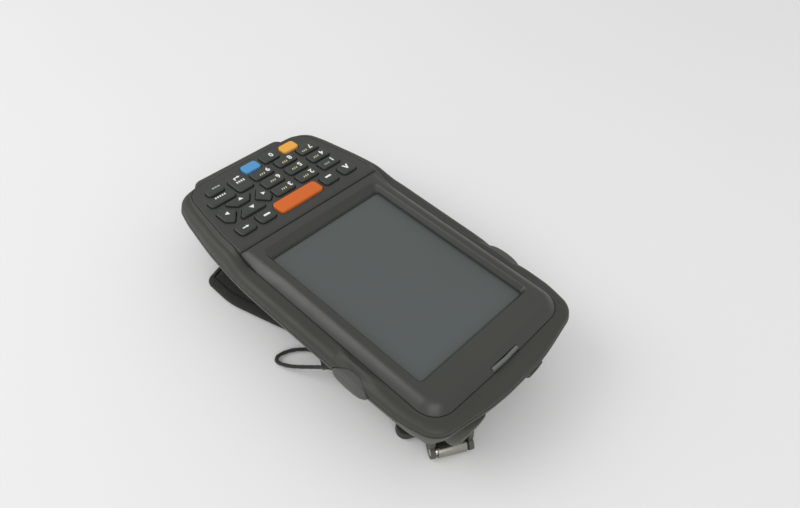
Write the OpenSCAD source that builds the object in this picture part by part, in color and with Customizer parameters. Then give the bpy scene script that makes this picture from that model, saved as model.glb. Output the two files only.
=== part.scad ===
// Portable barcode data terminal with a numeric keypad, a 3.5 inch display, two side
// scan keys, a stylus, a removable battery and a hand strap. Millimetres, +Z up,
// scan end towards +Y. It lies on its strap; the origin is on the table under the
// middle of the housing. Construction heights are counted from the display glass,
// which is "glass_h" above the table.

/* [Housing] */
// Half width of the housing at its parting line
half_w = 41.5; // [41:0.1:42]
// Distance from the display centre to the scan end
top_y = 58.5; // [58:0.1:58.8]
// Distance from the display centre to the keypad end of the housing
end_y = 89.6; // [89:0.1:90]
// Distance from the display centre to the end of the connector boot
boot_y = 93.5; // [93:0.1:94]
// Height of the display glass above the table
glass_h = 30; // [29.8:0.1:30.2]
// Depth of the flat back below the glass
back_d = 24.2; // [24:0.1:24.4]

/* [Display] */
// Width of the visible glass
glass_w = 54.5; // [53:0.1:55]
// Length of the visible glass
glass_l = 73.3; // [72:0.1:74]
// Height of the bezel above the glass
bezel_h = 3; // [2.6:0.1:3.2]

/* [Keypad] */
// Slope of the keypad towards the keypad end, in degrees
key_tilt = 3.15; // [2.8:0.05:3.4]
// Height of the key tops above the keypad plate
key_proud = 0.97; // [0.8:0.01:1.2]
// Travel of a key
key_travel = 0.7; // [0.5:0.05:0.8]
// Width of a number key
num_w = 9.5; // [9:0.1:9.6]
// Length of a number key
num_l = 5.5; // [5:0.1:5.6]

/* [Scan keys] */
// Length of a side scan key
side_l = 16; // [15:0.1:16.2]
// Height of a side scan key
side_h = 6.6; // [6:0.1:6.8]

/* [Stylus] */
// Radius of the stylus barrel
stylus_r = 2.4; // [2.2:0.05:2.4]
// Radius of the stylus silo
silo_r = 2.48; // [2.48:0.01:2.6]

/* [Battery] */
// Length of the battery pack
batt_l = 57; // [54:0.5:57]
// Width of the battery pack
batt_w = 42.4; // [40:0.1:42.4]

/* [Strap] */
// Width of the strap pad
pad_w = 50; // [48:0.5:51]
// Length of the strap pad
pad_l = 74; // [70:0.5:74]
// Angle of the pad on the back
pad_turn = 17.5; // [16:0.5:19]
// Width of the strap webbing
web_w = 25; // [24:0.5:26]
// Diameter of the lanyard cord
cord_d = 1.5; // [1.3:0.1:1.6]

/* [Hidden] */
$fn = 40;
// Distance from the display centre to the face of the infrared window
bump_y = 59;
dy = (boot_y - bump_y) / 2;
case_c = [0.16, 0.16, 0.155];
dark_c = [0.09, 0.09, 0.09];
steel_c = [0.72, 0.72, 0.70];

module at_glass() translate([0, dy, glass_h]) children();
module on_keys() at_glass() translate([0, -50, 0]) rotate([key_tilt, 0, 0]) translate([0, 50, 0]) children();

// Outlines: corner points [x, y, fillet radius, steps], counter-clockwise
function mir(h) = concat(h, [for (i = [len(h) - 1:-1:0]) [-h[i].x, h[i].y, h[i][2], h[i][3]]]);
function unit(v) = v / norm(v);
function xy(p) = [p.x, p.y];
function inset(V, d) = let (n = len(V)) [for (i = [0:n - 1])
  let (a = unit(xy(V[i]) - xy(V[(i + n - 1) % n])), b = unit(xy(V[(i + 1) % n]) - xy(V[i])),
       m = ([-a.y, a.x] + [-b.y, b.x]) / (1 + a * b), c = xy(V[i]) + m * d)
  [c.x, c.y, max(0.4, V[i][2] - d), V[i][3]]];
function fillet(V) = let (n = len(V)) [for (i = [0:n - 1])
  let (c = xy(V[i]), a = unit(xy(V[(i + n - 1) % n]) - c), b = unit(xy(V[(i + 1) % n]) - c),
       g = acos(max(-1, min(1, a * b))), l = 0.49 * min(norm(xy(V[(i + n - 1) % n]) - c), norm(xy(V[(i + 1) % n]) - c)),
       t = min(V[i][2] / tan(g / 2), l), r = t * tan(g / 2),
       o = c + unit(a + b) * (r / sin(g / 2)), s = c + a * t - o, e = c + b * t - o,
       a0 = atan2(s.y, s.x), da = ((atan2(e.y, e.x) - a0 + 540) % 360) - 180)
  for (j = [0:V[i][3]]) let (q = a0 + da * j / V[i][3]) o + r * [cos(q), sin(q)]];
function rim_v() = mir([[14, -end_y, 90, 2], [33.6, 2.6 - end_y, 9, 8], [36.6, -76.5, 40, 1], [39.9, -58, 120, 2],
  [half_w + 0.2, -38, 160, 2], [half_w, 12, 300, 2], [half_w - 0.7, 41, 40, 1], [half_w - 4, top_y - 4.6, 9, 8], [12, top_y, 90, 2]]);
function bezel_v() = mir([[35, -60, 1, 1], [35.05, 50.3, 8.6, 7], [10, 50.9, 60, 2]]);
function keypad_v() = mir([[12, -86.4, 60, 2], [29.3, -86, 8, 6], [32.1, -70, 30, 2], [34.2, -56, 30, 2], [35, -44.75, 0.8, 2]]);
function box_v(w, l, r, k = 4) = [[w / 2, -l / 2, r, k], [w / 2, l / 2, r, k], [-w / 2, l / 2, r, k], [-w / 2, -l / 2, r, k]];
module shape(V) polygon(fillet(V));
module slab(V, z0, z1) translate([0, 0, z0]) linear_extrude(z1 - z0) shape(V);

// Parting line, shoulder and keypad heights as a function of y
function rim_z(y) = -5 + 2 * pow((y + 18) / 76, 2);
function ease(t) = let (u = max(0, min(1, t))) u * u * (3 - 2 * u);
function in_z(y) = let (s = ease((-40 - y) / 10)) -0.3 * (1 - s) + s * (3.15 + (y + 50) * 0.055);
function sh_z(y) = let (s = ease((-38 - y) / 12)) -0.5 * (1 - s) + s * (1.9 + (y + 50) * 0.045);
function ring(V, d, f) = [for (p = fillet(inset(V, d))) [p.x, p.y, f(p.y)]];
// As ring, with the keypad end kept steeper; w is 0 outside and 2 inside the wall
function ring_b(V, d, f, w = 0) = [for (p = fillet(inset(V, d))) [p.x, p.y - 0.5 * (d - w) * ease((-50 - p.y) / 34), f(p.y)]];
function flat(z) = function (y) z;
function arc_z(t) = function (y) let (z = rim_z(y) + 0.6) z + (sh_z(y) - z) * sin(t);

// Solid through a stack of closed rings, with flat ends
module loft(R) {
  n = len(R[0]);
  m = len(R);
  polyhedron([for (r = R) each r],
    concat([[for (i = [0:n - 1]) i]],
      [for (j = [0:m - 2], i = [0:n - 1]) let (k = (i + 1) % n, a = j * n + i, b = j * n + k) each [[a, a + n, b + n], [a, b + n, b]]],
      [[for (i = [n - 1:-1:0]) (m - 1) * n + i]]), convexity = 10);
}
module body_outer() let (V = rim_v()) loft([
  ring_b(V, 10.8, flat(-back_d)), ring_b(V, 9.2, flat(-back_d + 1)), ring_b(V, 7.1, flat(-20)), ring_b(V, 3.4, flat(-12)),
  ring_b(V, 0.7, flat(-6.4)), ring(V, 0, function (y) rim_z(y)), ring(V, 0, arc_z(0)), ring(V, 0.54, arc_z(30)),
  ring(V, 2, arc_z(60)), ring(V, 4, arc_z(90)), ring(V, 6, function (y) in_z(y)), ring(V, 9, function (y) in_z(y)),
  ring(V, 13, flat(4.2))]);
module body_inner() let (V = rim_v()) loft([
  ring_b(V, 12.6, flat(-back_d + 2), 2), ring_b(V, 9.3, flat(-19.4), 2), ring_b(V, 5.6, flat(-12), 2), ring_b(V, 2.9, flat(-6.4), 2),
  ring_b(V, 2.4, flat(-4.4), 2), ring_b(V, 4.2, flat(-3), 2)]);
// Everything above (or below) the curved parting surface
module above(o, top) rotate([90, 0, 90]) linear_extrude(120, center = true)
  polygon(concat([for (y = [-100:5:65]) [y, rim_z(y) + o]], [[65, top], [-100, top]]));

// ---------- housings
boss_at = [[32.2, 43], [-32.2, 43], [29.5, -74.5], [-29.5, -74.5]];
anchor = [23.7, 51.2];
anchor_z = -27.3;
pin_y = -81;
module at_strap() translate([anchor.x, anchor.y, 0]) rotate([0, 0, -30]) children();
// Oval hole for a side scan key, along X
module side_hole(s, l, h, x0, x1) for (e = [-1, 1]) {
  translate([s > 0 ? x0 : -x1, 18.8 + e * (l - h) / 2, -5]) rotate([0, 90, 0]) cylinder(d = h, h = x1 - x0);
  translate([s > 0 ? x0 : -x1, 18.8 - (l - h) / 2, -5 - h / 2]) cube([x1 - x0, l - h, h]);
}
module front_housing() color(case_c) at_glass() difference() {
  union() {
    difference() {
      intersection() { body_outer(); above(0, 12); }
      body_inner();
      intersection() { slab(inset(bezel_v(), -0.2), -1.5, 12); translate([-60, -44.65, -2]) cube([120, 120, 15]); }
      translate([0, -50, 0]) rotate([key_tilt, 0, 0]) translate([0, 50, 0]) slab(inset(keypad_v(), -0.2), 0.2, 12);
    }
    // frame that carries the keypad board
    translate([0, -50, 0]) rotate([key_tilt, 0, 0]) translate([0, 50, 0]) {
      difference() { slab(inset(keypad_v(), 1), -3.2, 0.2); slab(inset(keypad_v(), 3.3), -4, 1); }
      difference() { slab(inset(keypad_v(), 3.1), -3.2, -1.95); slab(inset(keypad_v(), 7.5), -4, -1); }
    }
    for (p = boss_at) translate([p.x, p.y, -8.4]) cylinder(r = 2.4, h = 6);
  }
  slab(box_v(59.2, 78.8, 1.5), -9, 3);
  translate([-34.8, -45.3, 0.6]) cube([69.6, 1.2, 6]);
  translate([0, -50, 0]) rotate([key_tilt, 0, 0]) translate([0, 50, 0]) {
    slab(inset(keypad_v(), 1.7), -0.6, 3);
    slab(inset(keypad_v(), 3.3), -1.95, 3);
    slab(inset(keypad_v(), 7.5), -5, 3);
  }
  for (p = boss_at) translate([p.x, p.y, -9]) cylinder(r = 1.25, h = 6.4);
  for (s = [-1, 1]) side_hole(s, side_l + 0.6, side_h + 0.6, 34.6, 50);
}
module rear_housing() color(case_c) at_glass() difference() {
  union() {
    difference() {
      intersection() { body_outer(); difference() { translate([-60, -100, -40]) cube([120, 170, 45]); above(-0.3, 12); } }
      body_inner();
    }
    // battery well, stylus silo, screw posts, strap pin pocket and lanyard pocket
    translate([-24.2, -67.5, -back_d]) cube([48.4, 63, back_d - 13.2]);
    translate([26, -47, -13.8]) rotate([-90, 0, 0]) cylinder(r = 3.9, h = 100);
    translate([22.4, 49, -13.8]) rotate([-90, 0, 0]) linear_extrude(7.8) shape(box_v(15.4, 7.8, 3.8, 6));
    intersection() {
      union() {
        for (p = boss_at) translate([p.x, p.y, -back_d]) cylinder(r = 3.6, h = back_d - 8.7);
        translate([-13, -88, -back_d]) cube([26, 11, 7.8]);
      }
      body_outer();
    }
    for (p = board_at) translate([p.x, p.y, -22.6]) cylinder(r = 2, h = 12.9);
    translate([27, -3.2, -22.6]) cube([6, 10.4, 6.2]);
    // ears that hold the strap pin
    at_strap() for (s = [-1, 1]) translate([s * 6.9, 0, anchor_z]) rotate([0, 90, 0]) {
      cylinder(r = 2.3, h = 1.7, center = true);
      translate([-2.9, -3.4, 0]) cube([5.8, 6.8, 1.7], center = true);
      translate([-5.2, -3.6, 0]) cube([4.6, 6.4, 1.7], center = true);
    }
  }
  // battery bay, its cover rails and the strap pocket
  translate([-21.7, -66, -30]) cube([43.4, 60, 15.4]);
  translate([-24.8, -79.4, -30]) cube([49.6, 76.6, 31.4 - back_d]);
  translate([-5.3, -3, -30]) cube([10.6, 7.3, 31.4 - back_d]);
  translate([-11, -84.6, -30]) cube([22, 7.2, 11.6]);
  translate([-12, pin_y, -21.8]) rotate([0, 90, 0]) cylinder(r = 1.3, h = 24);
  translate([29.2, -1.5, -23]) cube([12, 7, 5]);
  // stylus silo, screw holes
  translate([26, -46, -13.8]) rotate([-90, 0, 0]) cylinder(r = silo_r, h = 110);
  for (p = boss_at) {
    translate([p.x, p.y, -30]) cylinder(r = 1.3, h = 22);
    translate([p.x, p.y, -30]) cylinder(r = 2.3, h = 18);
  }
  for (p = board_at) translate([p.x, p.y, -12.6]) cylinder(r = 0.95, h = 4);
  at_strap() translate([-8, 0, anchor_z]) rotate([0, 90, 0]) cylinder(r = 1.45, h = 16);
  // scan window, infrared window, connector, speaker slots
  translate([0, 52.3, -15.5]) rotate([-24.8, 0, 0]) {
    cube([24, 20, 8], center = true);
    translate([0, 4.4, 0]) cube([26.4, 10, 10.4], center = true);
  }
  translate([-14.2, 52, -9]) cube([9.8, 10, 3.4]);
  translate([-17.2, -97, -14.6]) cube([34.4, 12, 9.2]);
  for (i = [-2:2]) translate([-5, 14 + i * 2.4 - 0.5, -30]) cube([10, 1, 12]);
  for (s = [-1, 1]) side_hole(s, side_l + 0.6, side_h + 0.6, 34.6, 50);
}
module housing_gasket() color(dark_c) at_glass() difference() {
  intersection() {
    difference() { slab(inset(rim_v(), 0.7), -8, 2); slab(inset(rim_v(), 1.9), -9, 3); }
    above(-0.3, 12);
  }
  above(0, 14);
  for (s = [-1, 1]) side_hole(s, side_l + 1.4, side_h + 1.4, 35.2, 50);
  translate([-18, -97, -14.6]) cube([36, 12, 10.4]);
}

// ---------- display
module display_bezel() color([0.12, 0.12, 0.12]) at_glass() difference() {
  intersection() {
    let (V = bezel_v()) loft([ring(V, 0, flat(-1.4)), ring(V, 0, flat(-0.1)), ring(V, 0.5, flat(0.6)),
      ring(V, 1.2, flat(1.4)), ring(V, 2.2, flat(bezel_h - 0.75)), ring(V, 3.4, flat(bezel_h - 0.17)), ring(V, 4.6, flat(bezel_h))]);
    translate([-50, -44.45, -5]) cube([100, 120, 12]);
  }
  slab(box_v(glass_w, glass_l, 1.2), -3, 4);
  slab(box_v(58.8, 77.8, 1), -3, 0.5);
  // bevels down to the glass, wide at the keypad side
  polyhedron([[-glass_w / 2, -glass_l / 2, 0.5], [glass_w / 2, -glass_l / 2, 0.5], [glass_w / 2, glass_l / 2, 0.5], [-glass_w / 2, glass_l / 2, 0.5],
      [-glass_w / 2 - 1.9, -glass_l / 2 - 3.2, 3.3], [glass_w / 2 + 1.9, -glass_l / 2 - 3.2, 3.3], [glass_w / 2 + 1.9, glass_l / 2 + 1.8, 3.3], [-glass_w / 2 - 1.9, glass_l / 2 + 1.8, 3.3]],
    [[0, 1, 2, 3], [7, 6, 5, 4], [0, 4, 5, 1], [1, 5, 6, 2], [2, 6, 7, 3], [3, 7, 4, 0]]);
  translate([-6.9, 48.9, -3]) cube([13.8, 4, 8]);
}
module touch_panel() color([0.35, 0.40, 0.42]) at_glass() slab(box_v(58.2, 77.2, 0.8), -1.1, 0);
module display_gasket() color(dark_c) at_glass() difference() {
  slab(box_v(57.8, 76.8, 0.8), 0, 0.5);
  slab(box_v(55.6, 74.4, 0.8), -1, 1);
}
module display_module() color([0.6, 0.6, 0.62]) at_glass() {
  slab(box_v(58, 77, 0.6), -4.6, -1.1);
  translate([-12, -37.5, -5.2]) cube([24, 14, 0.6]);
}
module light_pipe() color([0.55, 0.57, 0.56]) at_glass() {
  translate([-6.7, 49.3, -1.5]) cube([13.4, 1.7, 3.5]);
}

// ---------- boards and inner pieces
module main_board() color([0.10, 0.34, 0.20]) at_glass() difference() {
  union() {
    intersection() { slab(inset(rim_v(), 7.4), -9.7, -8.5); translate([-50, -79.5, -12]) cube([100, 112.5, 8]); }
    for (p = [[-16, 10], [8, 4], [-4, -26]]) translate([p.x, p.y, -8.5]) cube([13, 13, 1.5]);
    for (p = [[14, 22], [-26, -12], [14, -18]]) translate([p.x, p.y, -8.5]) cube([7, 8, 1.1]);
  }
  for (p = boss_at) translate([p.x, p.y, -12]) cylinder(r = 3.9, h = 6);
  for (p = board_at) translate([p.x, p.y, -12]) cylinder(r = 1, h = 6);
}
board_at = [[-28, 28], [9, 31], [-25, -69.6], [25, -69.6]];
module keypad_board() color([0.10, 0.34, 0.20]) on_keys() slab(inset(keypad_v(), 3.6), -1.95, -0.95);
module dome_switches() color(steel_c) on_keys() for (k = concat([for (q = keys) q[0]], [for (q = navs) q])) translate([k.x, k.y, -0.95]) {
  cylinder(r = 1.9, h = 0.15);
  cylinder(r = 1.3, h = 0.32);
}
module side_switches() color(steel_c) at_glass() for (s = [-1, 1]) {
  translate([s * 32.6 - 1.2, 15.4, -8.5]) cube([2.4, 6.8, 5.2]);
  translate([s > 0 ? 33.7 : -34.7, 18.8, -5.6]) rotate([0, 90, 0]) cylinder(r = 1.2, h = 1);
}
module scan_engine() color([0.22, 0.22, 0.24]) at_glass() translate([0, -0.9, 0]) {
  translate([-11, 36, -20]) cube([22, 13, 10]);
  translate([-4, 49, -16]) rotate([-90, 0, 0]) cylinder(r = 3, h = 0.8);
  translate([5, 49, -15]) rotate([-90, 0, 0]) cylinder(r = 2, h = 0.8);
  translate([-8, 37, -22.2]) cube([16, 8, 2.2]);
}
module scan_window() color([0.35, 0.05, 0.06]) at_glass() translate([0, 52.3, -15.5]) rotate([-24.8, 0, 0])
  translate([0, 0.4, 0]) cube([26, 1.6, 10], center = true);
module infrared_window() color([0.14, 0.04, 0.06]) at_glass() translate([-9.3, bump_y, -7.3]) rotate([90, 0, 0]) linear_extrude(3) shape(box_v(9.4, 3, 1.3));
module speaker() color([0.3, 0.3, 0.3]) at_glass() translate([0, 14, -back_d + 2]) {
  cylinder(r = 7.5, h = 2.6);
  cylinder(r = 5, h = 4);
}
module radio_module() color([0.7, 0.7, 0.68]) at_glass() {
  translate([-22, -62, -8.5]) cube([20, 18, 2]);
  translate([8, -60, -8.5]) cube([10, 12, 1.6]);
}
module battery_pack() color([0.25, 0.26, 0.3]) at_glass() translate([0, -36.9 + (57 - batt_l) / 2, -22.6])
  slab(box_v(batt_w, batt_l, 2), 0, 7.7);
module battery_contacts() color([0.75, 0.62, 0.3]) at_glass() {
  translate([-8, -8.2, -21]) cube([16, 2.2, 5]);
  for (i = [-2:2]) translate([i * 2.8 - 0.6, -8.4, -20]) cube([1.2, 0.3, 3]);
}
module battery_door() color(case_c) at_glass() difference() {
  union() {
    translate([-24.6, -70, -back_d]) cube([49.2, 67, 1.2]);
  }
  translate([-5.3, -6.2, -back_d - 1]) cube([10.6, 4, 3]);
  for (i = [-2:2]) translate([-9, -60 + i * 2.4, -back_d - 1]) cube([18, 1, 1.4]);
}
module battery_latch() color([0.2, 0.2, 0.2]) at_glass() difference() {
  translate([-5, -5.9, -back_d]) cube([10, 6.7, 1.2]);
  for (i = [0:2]) translate([-3.5, -3.6 + i * 1.5, -back_d - 1]) cube([7, 0.6, 1.4]);
}
module dock_connector() color([0.2, 0.2, 0.2]) at_glass() difference() {
  translate([-15, -91, -13.6]) cube([30, 11, 3.8 + 3.4]);
  translate([-13.6, -93, -12.6]) cube([27.2, 8, 5.2]);
  translate([-10, -86, -11.4]) cube([20, 3, 2.8]);
}
module connector_boot() color([0.13, 0.13, 0.13]) at_glass() difference() {
  union() {
    intersection() {
      translate([0, 0, -16.5]) linear_extrude(13.9) shape([[22.8, -boot_y, 4.5, 6], [22.8, -80, 1, 1], [-22.8, -80, 1, 1], [-22.8, -boot_y, 4.5, 6]]);
      translate([-30, -100, -20]) cube([60, 14.6, 20]);
    }
  }
  body_skin();
  translate([-13.6, -100, -12.6]) cube([27.2, 20, 5.2]);
  translate([-15.1, -91.1, -13.7]) cube([30.2, 8, 7.4]);
}
// Outer skin of the housing, a little enlarged, for pieces that sit against it
module body_skin() let (V = rim_v()) loft([
  ring_b(V, 10.7, flat(-back_d)), ring_b(V, 9.1, flat(-back_d + 1)), ring_b(V, 7, flat(-20)), ring_b(V, 3.3, flat(-12)),
  ring_b(V, 0.6, flat(-6.4)), ring(V, -0.1, function (y) rim_z(y)), ring(V, -0.1, flat(-1))]);

// ---------- fasteners
module housing_screws() color(steel_c) at_glass() for (p = boss_at) translate([p.x, p.y, 0]) {
  translate([0, 0, -12]) cylinder(r = 1.2, h = 8.6);
  difference() {
    translate([0, 0, -13.6]) cylinder(r = 2.2, h = 1.6);
    translate([0, 0, -14]) cylinder(r = 0.9, h = 1.2, $fn = 6);
  }
}
module board_screws() color(steel_c) at_glass() for (p = board_at) translate([p.x, p.y, 0]) {
  translate([0, 0, -11.5]) cylinder(r = 0.9, h = 3);
  difference() {
    translate([0, 0, -8.5]) cylinder(r = 1.8, h = 1.1);
    translate([0, 0, -8]) cylinder(r = 0.7, h = 1.2, $fn = 6);
  }
}

// ---------- stylus
module stylus() color([0.14, 0.14, 0.14]) at_glass() translate([26, 0, -13.8]) rotate([-90, 0, 0]) difference() {
  union() {
    translate([0, 0, -39]) cylinder(r = stylus_r, h = 96.3);
    translate([0, 0, -44]) cylinder(r1 = 0.9, r2 = stylus_r, h = 5);
  }
  translate([0, 0, 55.6]) cylinder(r = 1, h = 5);
}

// ---------- hand strap
// Pad: its near lower corner shows beside the housing
pad_c = [19.6, -72.5];
module at_pad() translate([pad_c.x, pad_c.y, 0]) rotate([0, 0, pad_turn]) children();
function pad_v() = [for (p = [[0.81, 0, 4.5, 5], [0.985, 14.4, 30, 4], [1, 36.4, 80, 2], [0.97, pad_l, 7, 5],
  [-0.97, pad_l, 7, 5], [-1, 36.4, 80, 2], [-0.985, 14.4, 30, 4], [-0.81, 0, 4.5, 5]]) [p.x * pad_w / 2, p.y, p[2], p[3]]];
module strap_pad() color([0.12, 0.12, 0.11]) at_glass() at_pad() translate([0, 0, -30]) linear_extrude(5.5) shape(pad_v());
module strap_webbing() color([0.10, 0.10, 0.10]) at_glass() {
  // from the pin in the housing to the pad
  difference() {
    union() {
      translate([-10, pin_y, -21.8]) rotate([0, 90, 0]) cylinder(r = 2.9, h = 20);
      translate([-10, pin_y - 2.9, -28]) cube([20, 1.6, 6.4]);
      translate([0, 0, -28.6]) linear_extrude(1.6) polygon([[-10, pin_y - 2.9], [10, pin_y - 2.9], [27, -68], [8, -74]]);
    }
    translate([-11, pin_y, -21.8]) rotate([0, 90, 0]) cylinder(r = 1.3, h = 22);
    at_pad() translate([-pad_w / 2 - 1, -0.4, -31]) cube([pad_w + 2, 20, 8]);
  }
  // from the pad to the slider, and on to the clip
  difference() {
    at_strap() {
      translate([-web_w / 2, -58, -28.6]) cube([web_w, 42.9, 1.6]);
      translate([-5, -7.3, -28.6]) cube([10, 4.3, 1.6]);
    }
    at_pad() translate([-pad_w / 2 - 1, -1, -31]) cube([pad_w + 2, pad_l + 1.4, 8]);
  }
}
module strap_slider() color(dark_c) at_glass() at_strap() difference() {
  translate([0, -11.2, -29.5]) linear_extrude(3) shape(box_v(32.6, 7.2, 3.4, 6));
  for (y = [-13.7, -10.7]) translate([-12.8, y, -31]) cube([25.6, 2, 6]);
}
module strap_clip() color(steel_c) at_glass() at_strap() difference() {
  union() {
    translate([-5.3, 0, anchor_z]) rotate([0, 90, 0]) cylinder(r = 2.65, h = 10.6);
    translate([-5.3, -6.6, -26.4]) cube([10.6, 6, 0.9]);
  }
  translate([-6, 0, anchor_z]) rotate([0, 90, 0]) cylinder(r = 1.5, h = 12);
  translate([-6, -2.7, -28.7]) cube([12, 1.8, 1.8]);
}
module strap_pin() color(steel_c) at_glass() {
  at_strap() translate([-7.7, 0, anchor_z]) rotate([0, 90, 0]) cylinder(r = 1.4, h = 15.4);
  translate([-12, pin_y, -21.8]) rotate([0, 90, 0]) cylinder(r = 1.25, h = 24);
}

// ---------- lanyard loop on the right side
module lanyard_post() color(steel_c) at_glass() translate([31.2, -1.5, -20.5]) rotate([-90, 0, 0]) cylinder(r = 0.9, h = 7);
loop_path = [[32.7, 3.2, -20.5], [34.2, 2.2, -20.8], [34.9, 0, -22], [36, -3, -24], [37.7, -6.1, -25.5], [39.6, -9, -26.5], [41.3, -11.9, -27.4],
  [42.6, -15, -28.1], [42.9, -17.4, -28.6], [41.7, -18.9, -28.9], [39.6, -19.2, -29.1], [36, -18.1, -29.2], [32.7, -15.8, -29.2],
  [30.4, -13, -29], [30, -9.4, -28.4], [31, -6, -27.4], [32.8, -3.4, -26], [34.4, -1.4, -24.4], [34.9, -0.2, -22.6], [34.2, 0.4, -21.2], [32.7, 0.6, -20.5]];
function catmull(p, i, t) = let (n = len(p), a = p[max(0, i - 1)], b = p[i], c = p[min(n - 1, i + 1)], d = p[min(n - 1, i + 2)])
  0.5 * (2 * b + (c - a) * t + (2 * a - 5 * b + 4 * c - d) * t * t + (3 * b - a - 3 * c + d) * t * t * t);
function sweep_rings(p, r, k) = let (n = len(p)) [for (i = [0:n - 1])
  let (t = unit(p[min(n - 1, i + 1)] - p[max(0, i - 1)]), u = unit(cross(t, abs(t.z) > 0.9 ? [1, 0, 0] : [0, 0, 1])), v = cross(t, u))
  [for (j = [0:k - 1]) p[i] + r * (cos(-360 * j / k) * u + sin(-360 * j / k) * v)]];
module lanyard_loop() color([0.08, 0.08, 0.08]) at_glass() {
  q = [for (i = [0:len(loop_path) - 2], t = [0, 0.5]) catmull(loop_path, i, t), loop_path[len(loop_path) - 1]];
  loft(sweep_rings(q, cord_d / 2, 8));
}

// ---------- keys
module key_body(V) on_keys() {
  slab(inset(V, -0.3), 0.5, 1.1);
  slab(V, 0.5, 3.3 + key_proud - 0.35);
  slab(inset(V, 0.35), 3.3 + key_proud - 0.35, 3.3 + key_proud);
}
function at(V, x, y) = [for (p = V) [p.x + x, p.y + y, p[2], p[3]]];
// [centre, width, length, radius]
keys = [
  [[0, -53.06], 21.7, 7, 1.8], [[-25.95, -53.06], 7.5, 6, 1.6], [[-16.27, -53.06], 7.5, 6, 1.6],
  [[16.29, -53.06], 7.5, 6, 1.6], [[25.85, -53.06], 7.5, 6, 1.6],
  for (r = [0:2], c = [0:2]) [[[-23.4, -11.33, 0.98][c], [-61.06, -67.66, -74.56][r]], num_w, num_l, 1.3],
  [[-8, -80.86], 8, num_l, 1.3], [[-18.4, -80.86], 8, num_l, 1.5], [[1.6, -80.86], 8, num_l, 1.5],
  [[11.1, -75.25], 7.4, 9.5, 1.6], [[22.25, -72.4], 11.9, 4.2, 1.5], [[21.15, -78.4], 7.7, 4, 1.5]];
function key_v(i) = at(box_v(keys[i][1], keys[i][2], keys[i][3]), keys[i][0].x, keys[i][0].y);
up_v = [[20.3, -62.5, 1, 2], [24.6, -57.6, 1, 2], [11, -57.6, 1, 2], [14.9, -62.5, 1, 2]];
down_v = [[10.9, -69.3, 1, 2], [24.6, -69.3, 1, 2], [20.4, -64.5, 1, 2], [14.9, -64.5, 1, 2]];
left_v = [[8.6, -68.6, 0.8, 2], [13.1, -63.5, 0.8, 2], [9, -58.7, 0.8, 2], [6.6, -60.8, 1, 2], [6.6, -66.2, 1, 2]];
right_v = [[26.6, -68.6, 0.8, 2], [29.4, -66.6, 1, 2], [29.4, -60.8, 1, 2], [26.6, -58.1, 0.8, 2], [22, -63.4, 0.8, 2]];
navs = [[17.7, -60.2], [17.7, -66.8], [9.4, -63.6], [26.2, -63.4]];
all_keys = concat([for (i = [0:len(keys) - 1]) key_v(i)], [up_v, down_v, left_v, right_v]);
module keypad_bezel() color([0.14, 0.14, 0.14]) on_keys() difference() {
  slab(keypad_v(), 0.2, 3.3);
  slab(inset(keypad_v(), 1.6), -1, 1.3);
  for (V = all_keys) slab(inset(V, -0.2), 0, 5);
  // edge next to the display bezel
  translate([-40, -47.4, 3.3]) rotate([-12, 0, 0]) cube([80, 6, 3]);
}
module key_scan() color([0.9, 0.36, 0.1]) key_body(key_v(0));
module key_clear() color(dark_c) key_body(key_v(1));
module key_minus_left() color(dark_c) key_body(key_v(2));
module key_minus_right() color(dark_c) key_body(key_v(3));
module key_back() color(dark_c) key_body(key_v(4));
module key_1() color(dark_c) key_body(key_v(5));
module key_2() color(dark_c) key_body(key_v(6));
module key_3() color(dark_c) key_body(key_v(7));
module key_4() color(dark_c) key_body(key_v(8));
module key_5() color(dark_c) key_body(key_v(9));
module key_6() color(dark_c) key_body(key_v(10));
module key_7() color(dark_c) key_body(key_v(11));
module key_8() color(dark_c) key_body(key_v(12));
module key_9() color(dark_c) key_body(key_v(13));
module key_0() color(dark_c) key_body(key_v(14));
module key_orange() color([0.95, 0.62, 0.15]) key_body(key_v(15));
module key_blue() color([0.2, 0.55, 0.85]) key_body(key_v(16));
module key_enter() color(dark_c) key_body(key_v(17));
module key_wide() color(dark_c) key_body(key_v(18));
module key_small() color(dark_c) key_body(key_v(19));
module key_up() color(dark_c) key_body(up_v);
module key_down() color(dark_c) key_body(down_v);
module key_left() color(dark_c) key_body(left_v);
module key_right() color(dark_c) key_body(right_v);
module scan_key(s) color([0.2, 0.2, 0.2]) at_glass() {
  side_hole(s, side_l, side_h, 35.7, 41.3);
  side_hole(s, side_l - 2.2, side_h - 2.2, 41.3, 42.3);
  side_hole(s, side_l - 6, side_h - 4.4, 42.3, 42.7);
  translate([s > 0 ? 35.7 : -36.8, 9.7, -9.3]) cube([1.1, 18.2, 6]);
}
module scan_key_right() scan_key(1);
module scan_key_left() scan_key(-1);

front_housing();
rear_housing();
housing_gasket();
display_bezel();
keypad_bezel();
touch_panel();
display_module();
display_gasket();
light_pipe();
main_board();
keypad_board();
dome_switches();
side_switches();
scan_engine();
scan_window();
infrared_window();
speaker();
radio_module();
battery_pack();
battery_contacts();
battery_door();
battery_latch();
dock_connector();
connector_boot();
housing_screws();
board_screws();
stylus();
strap_pad();
strap_webbing();
strap_slider();
strap_clip();
strap_pin();
lanyard_post();
lanyard_loop();
scan_key_right();
scan_key_left();
key_scan();
key_clear();
key_minus_left();
key_minus_right();
key_back();
key_1();
key_2();
key_3();
key_4();
key_5();
key_6();
key_7();
key_8();
key_9();
key_0();
key_orange();
key_blue();
key_up();
key_down();
key_left();
key_right();
key_enter();
key_wide();
key_small();
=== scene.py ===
import math

import bmesh
import bpy
import numpy as np
from mathutils import Matrix, Vector, noise
from mathutils.bvhtree import BVHTree

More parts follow.
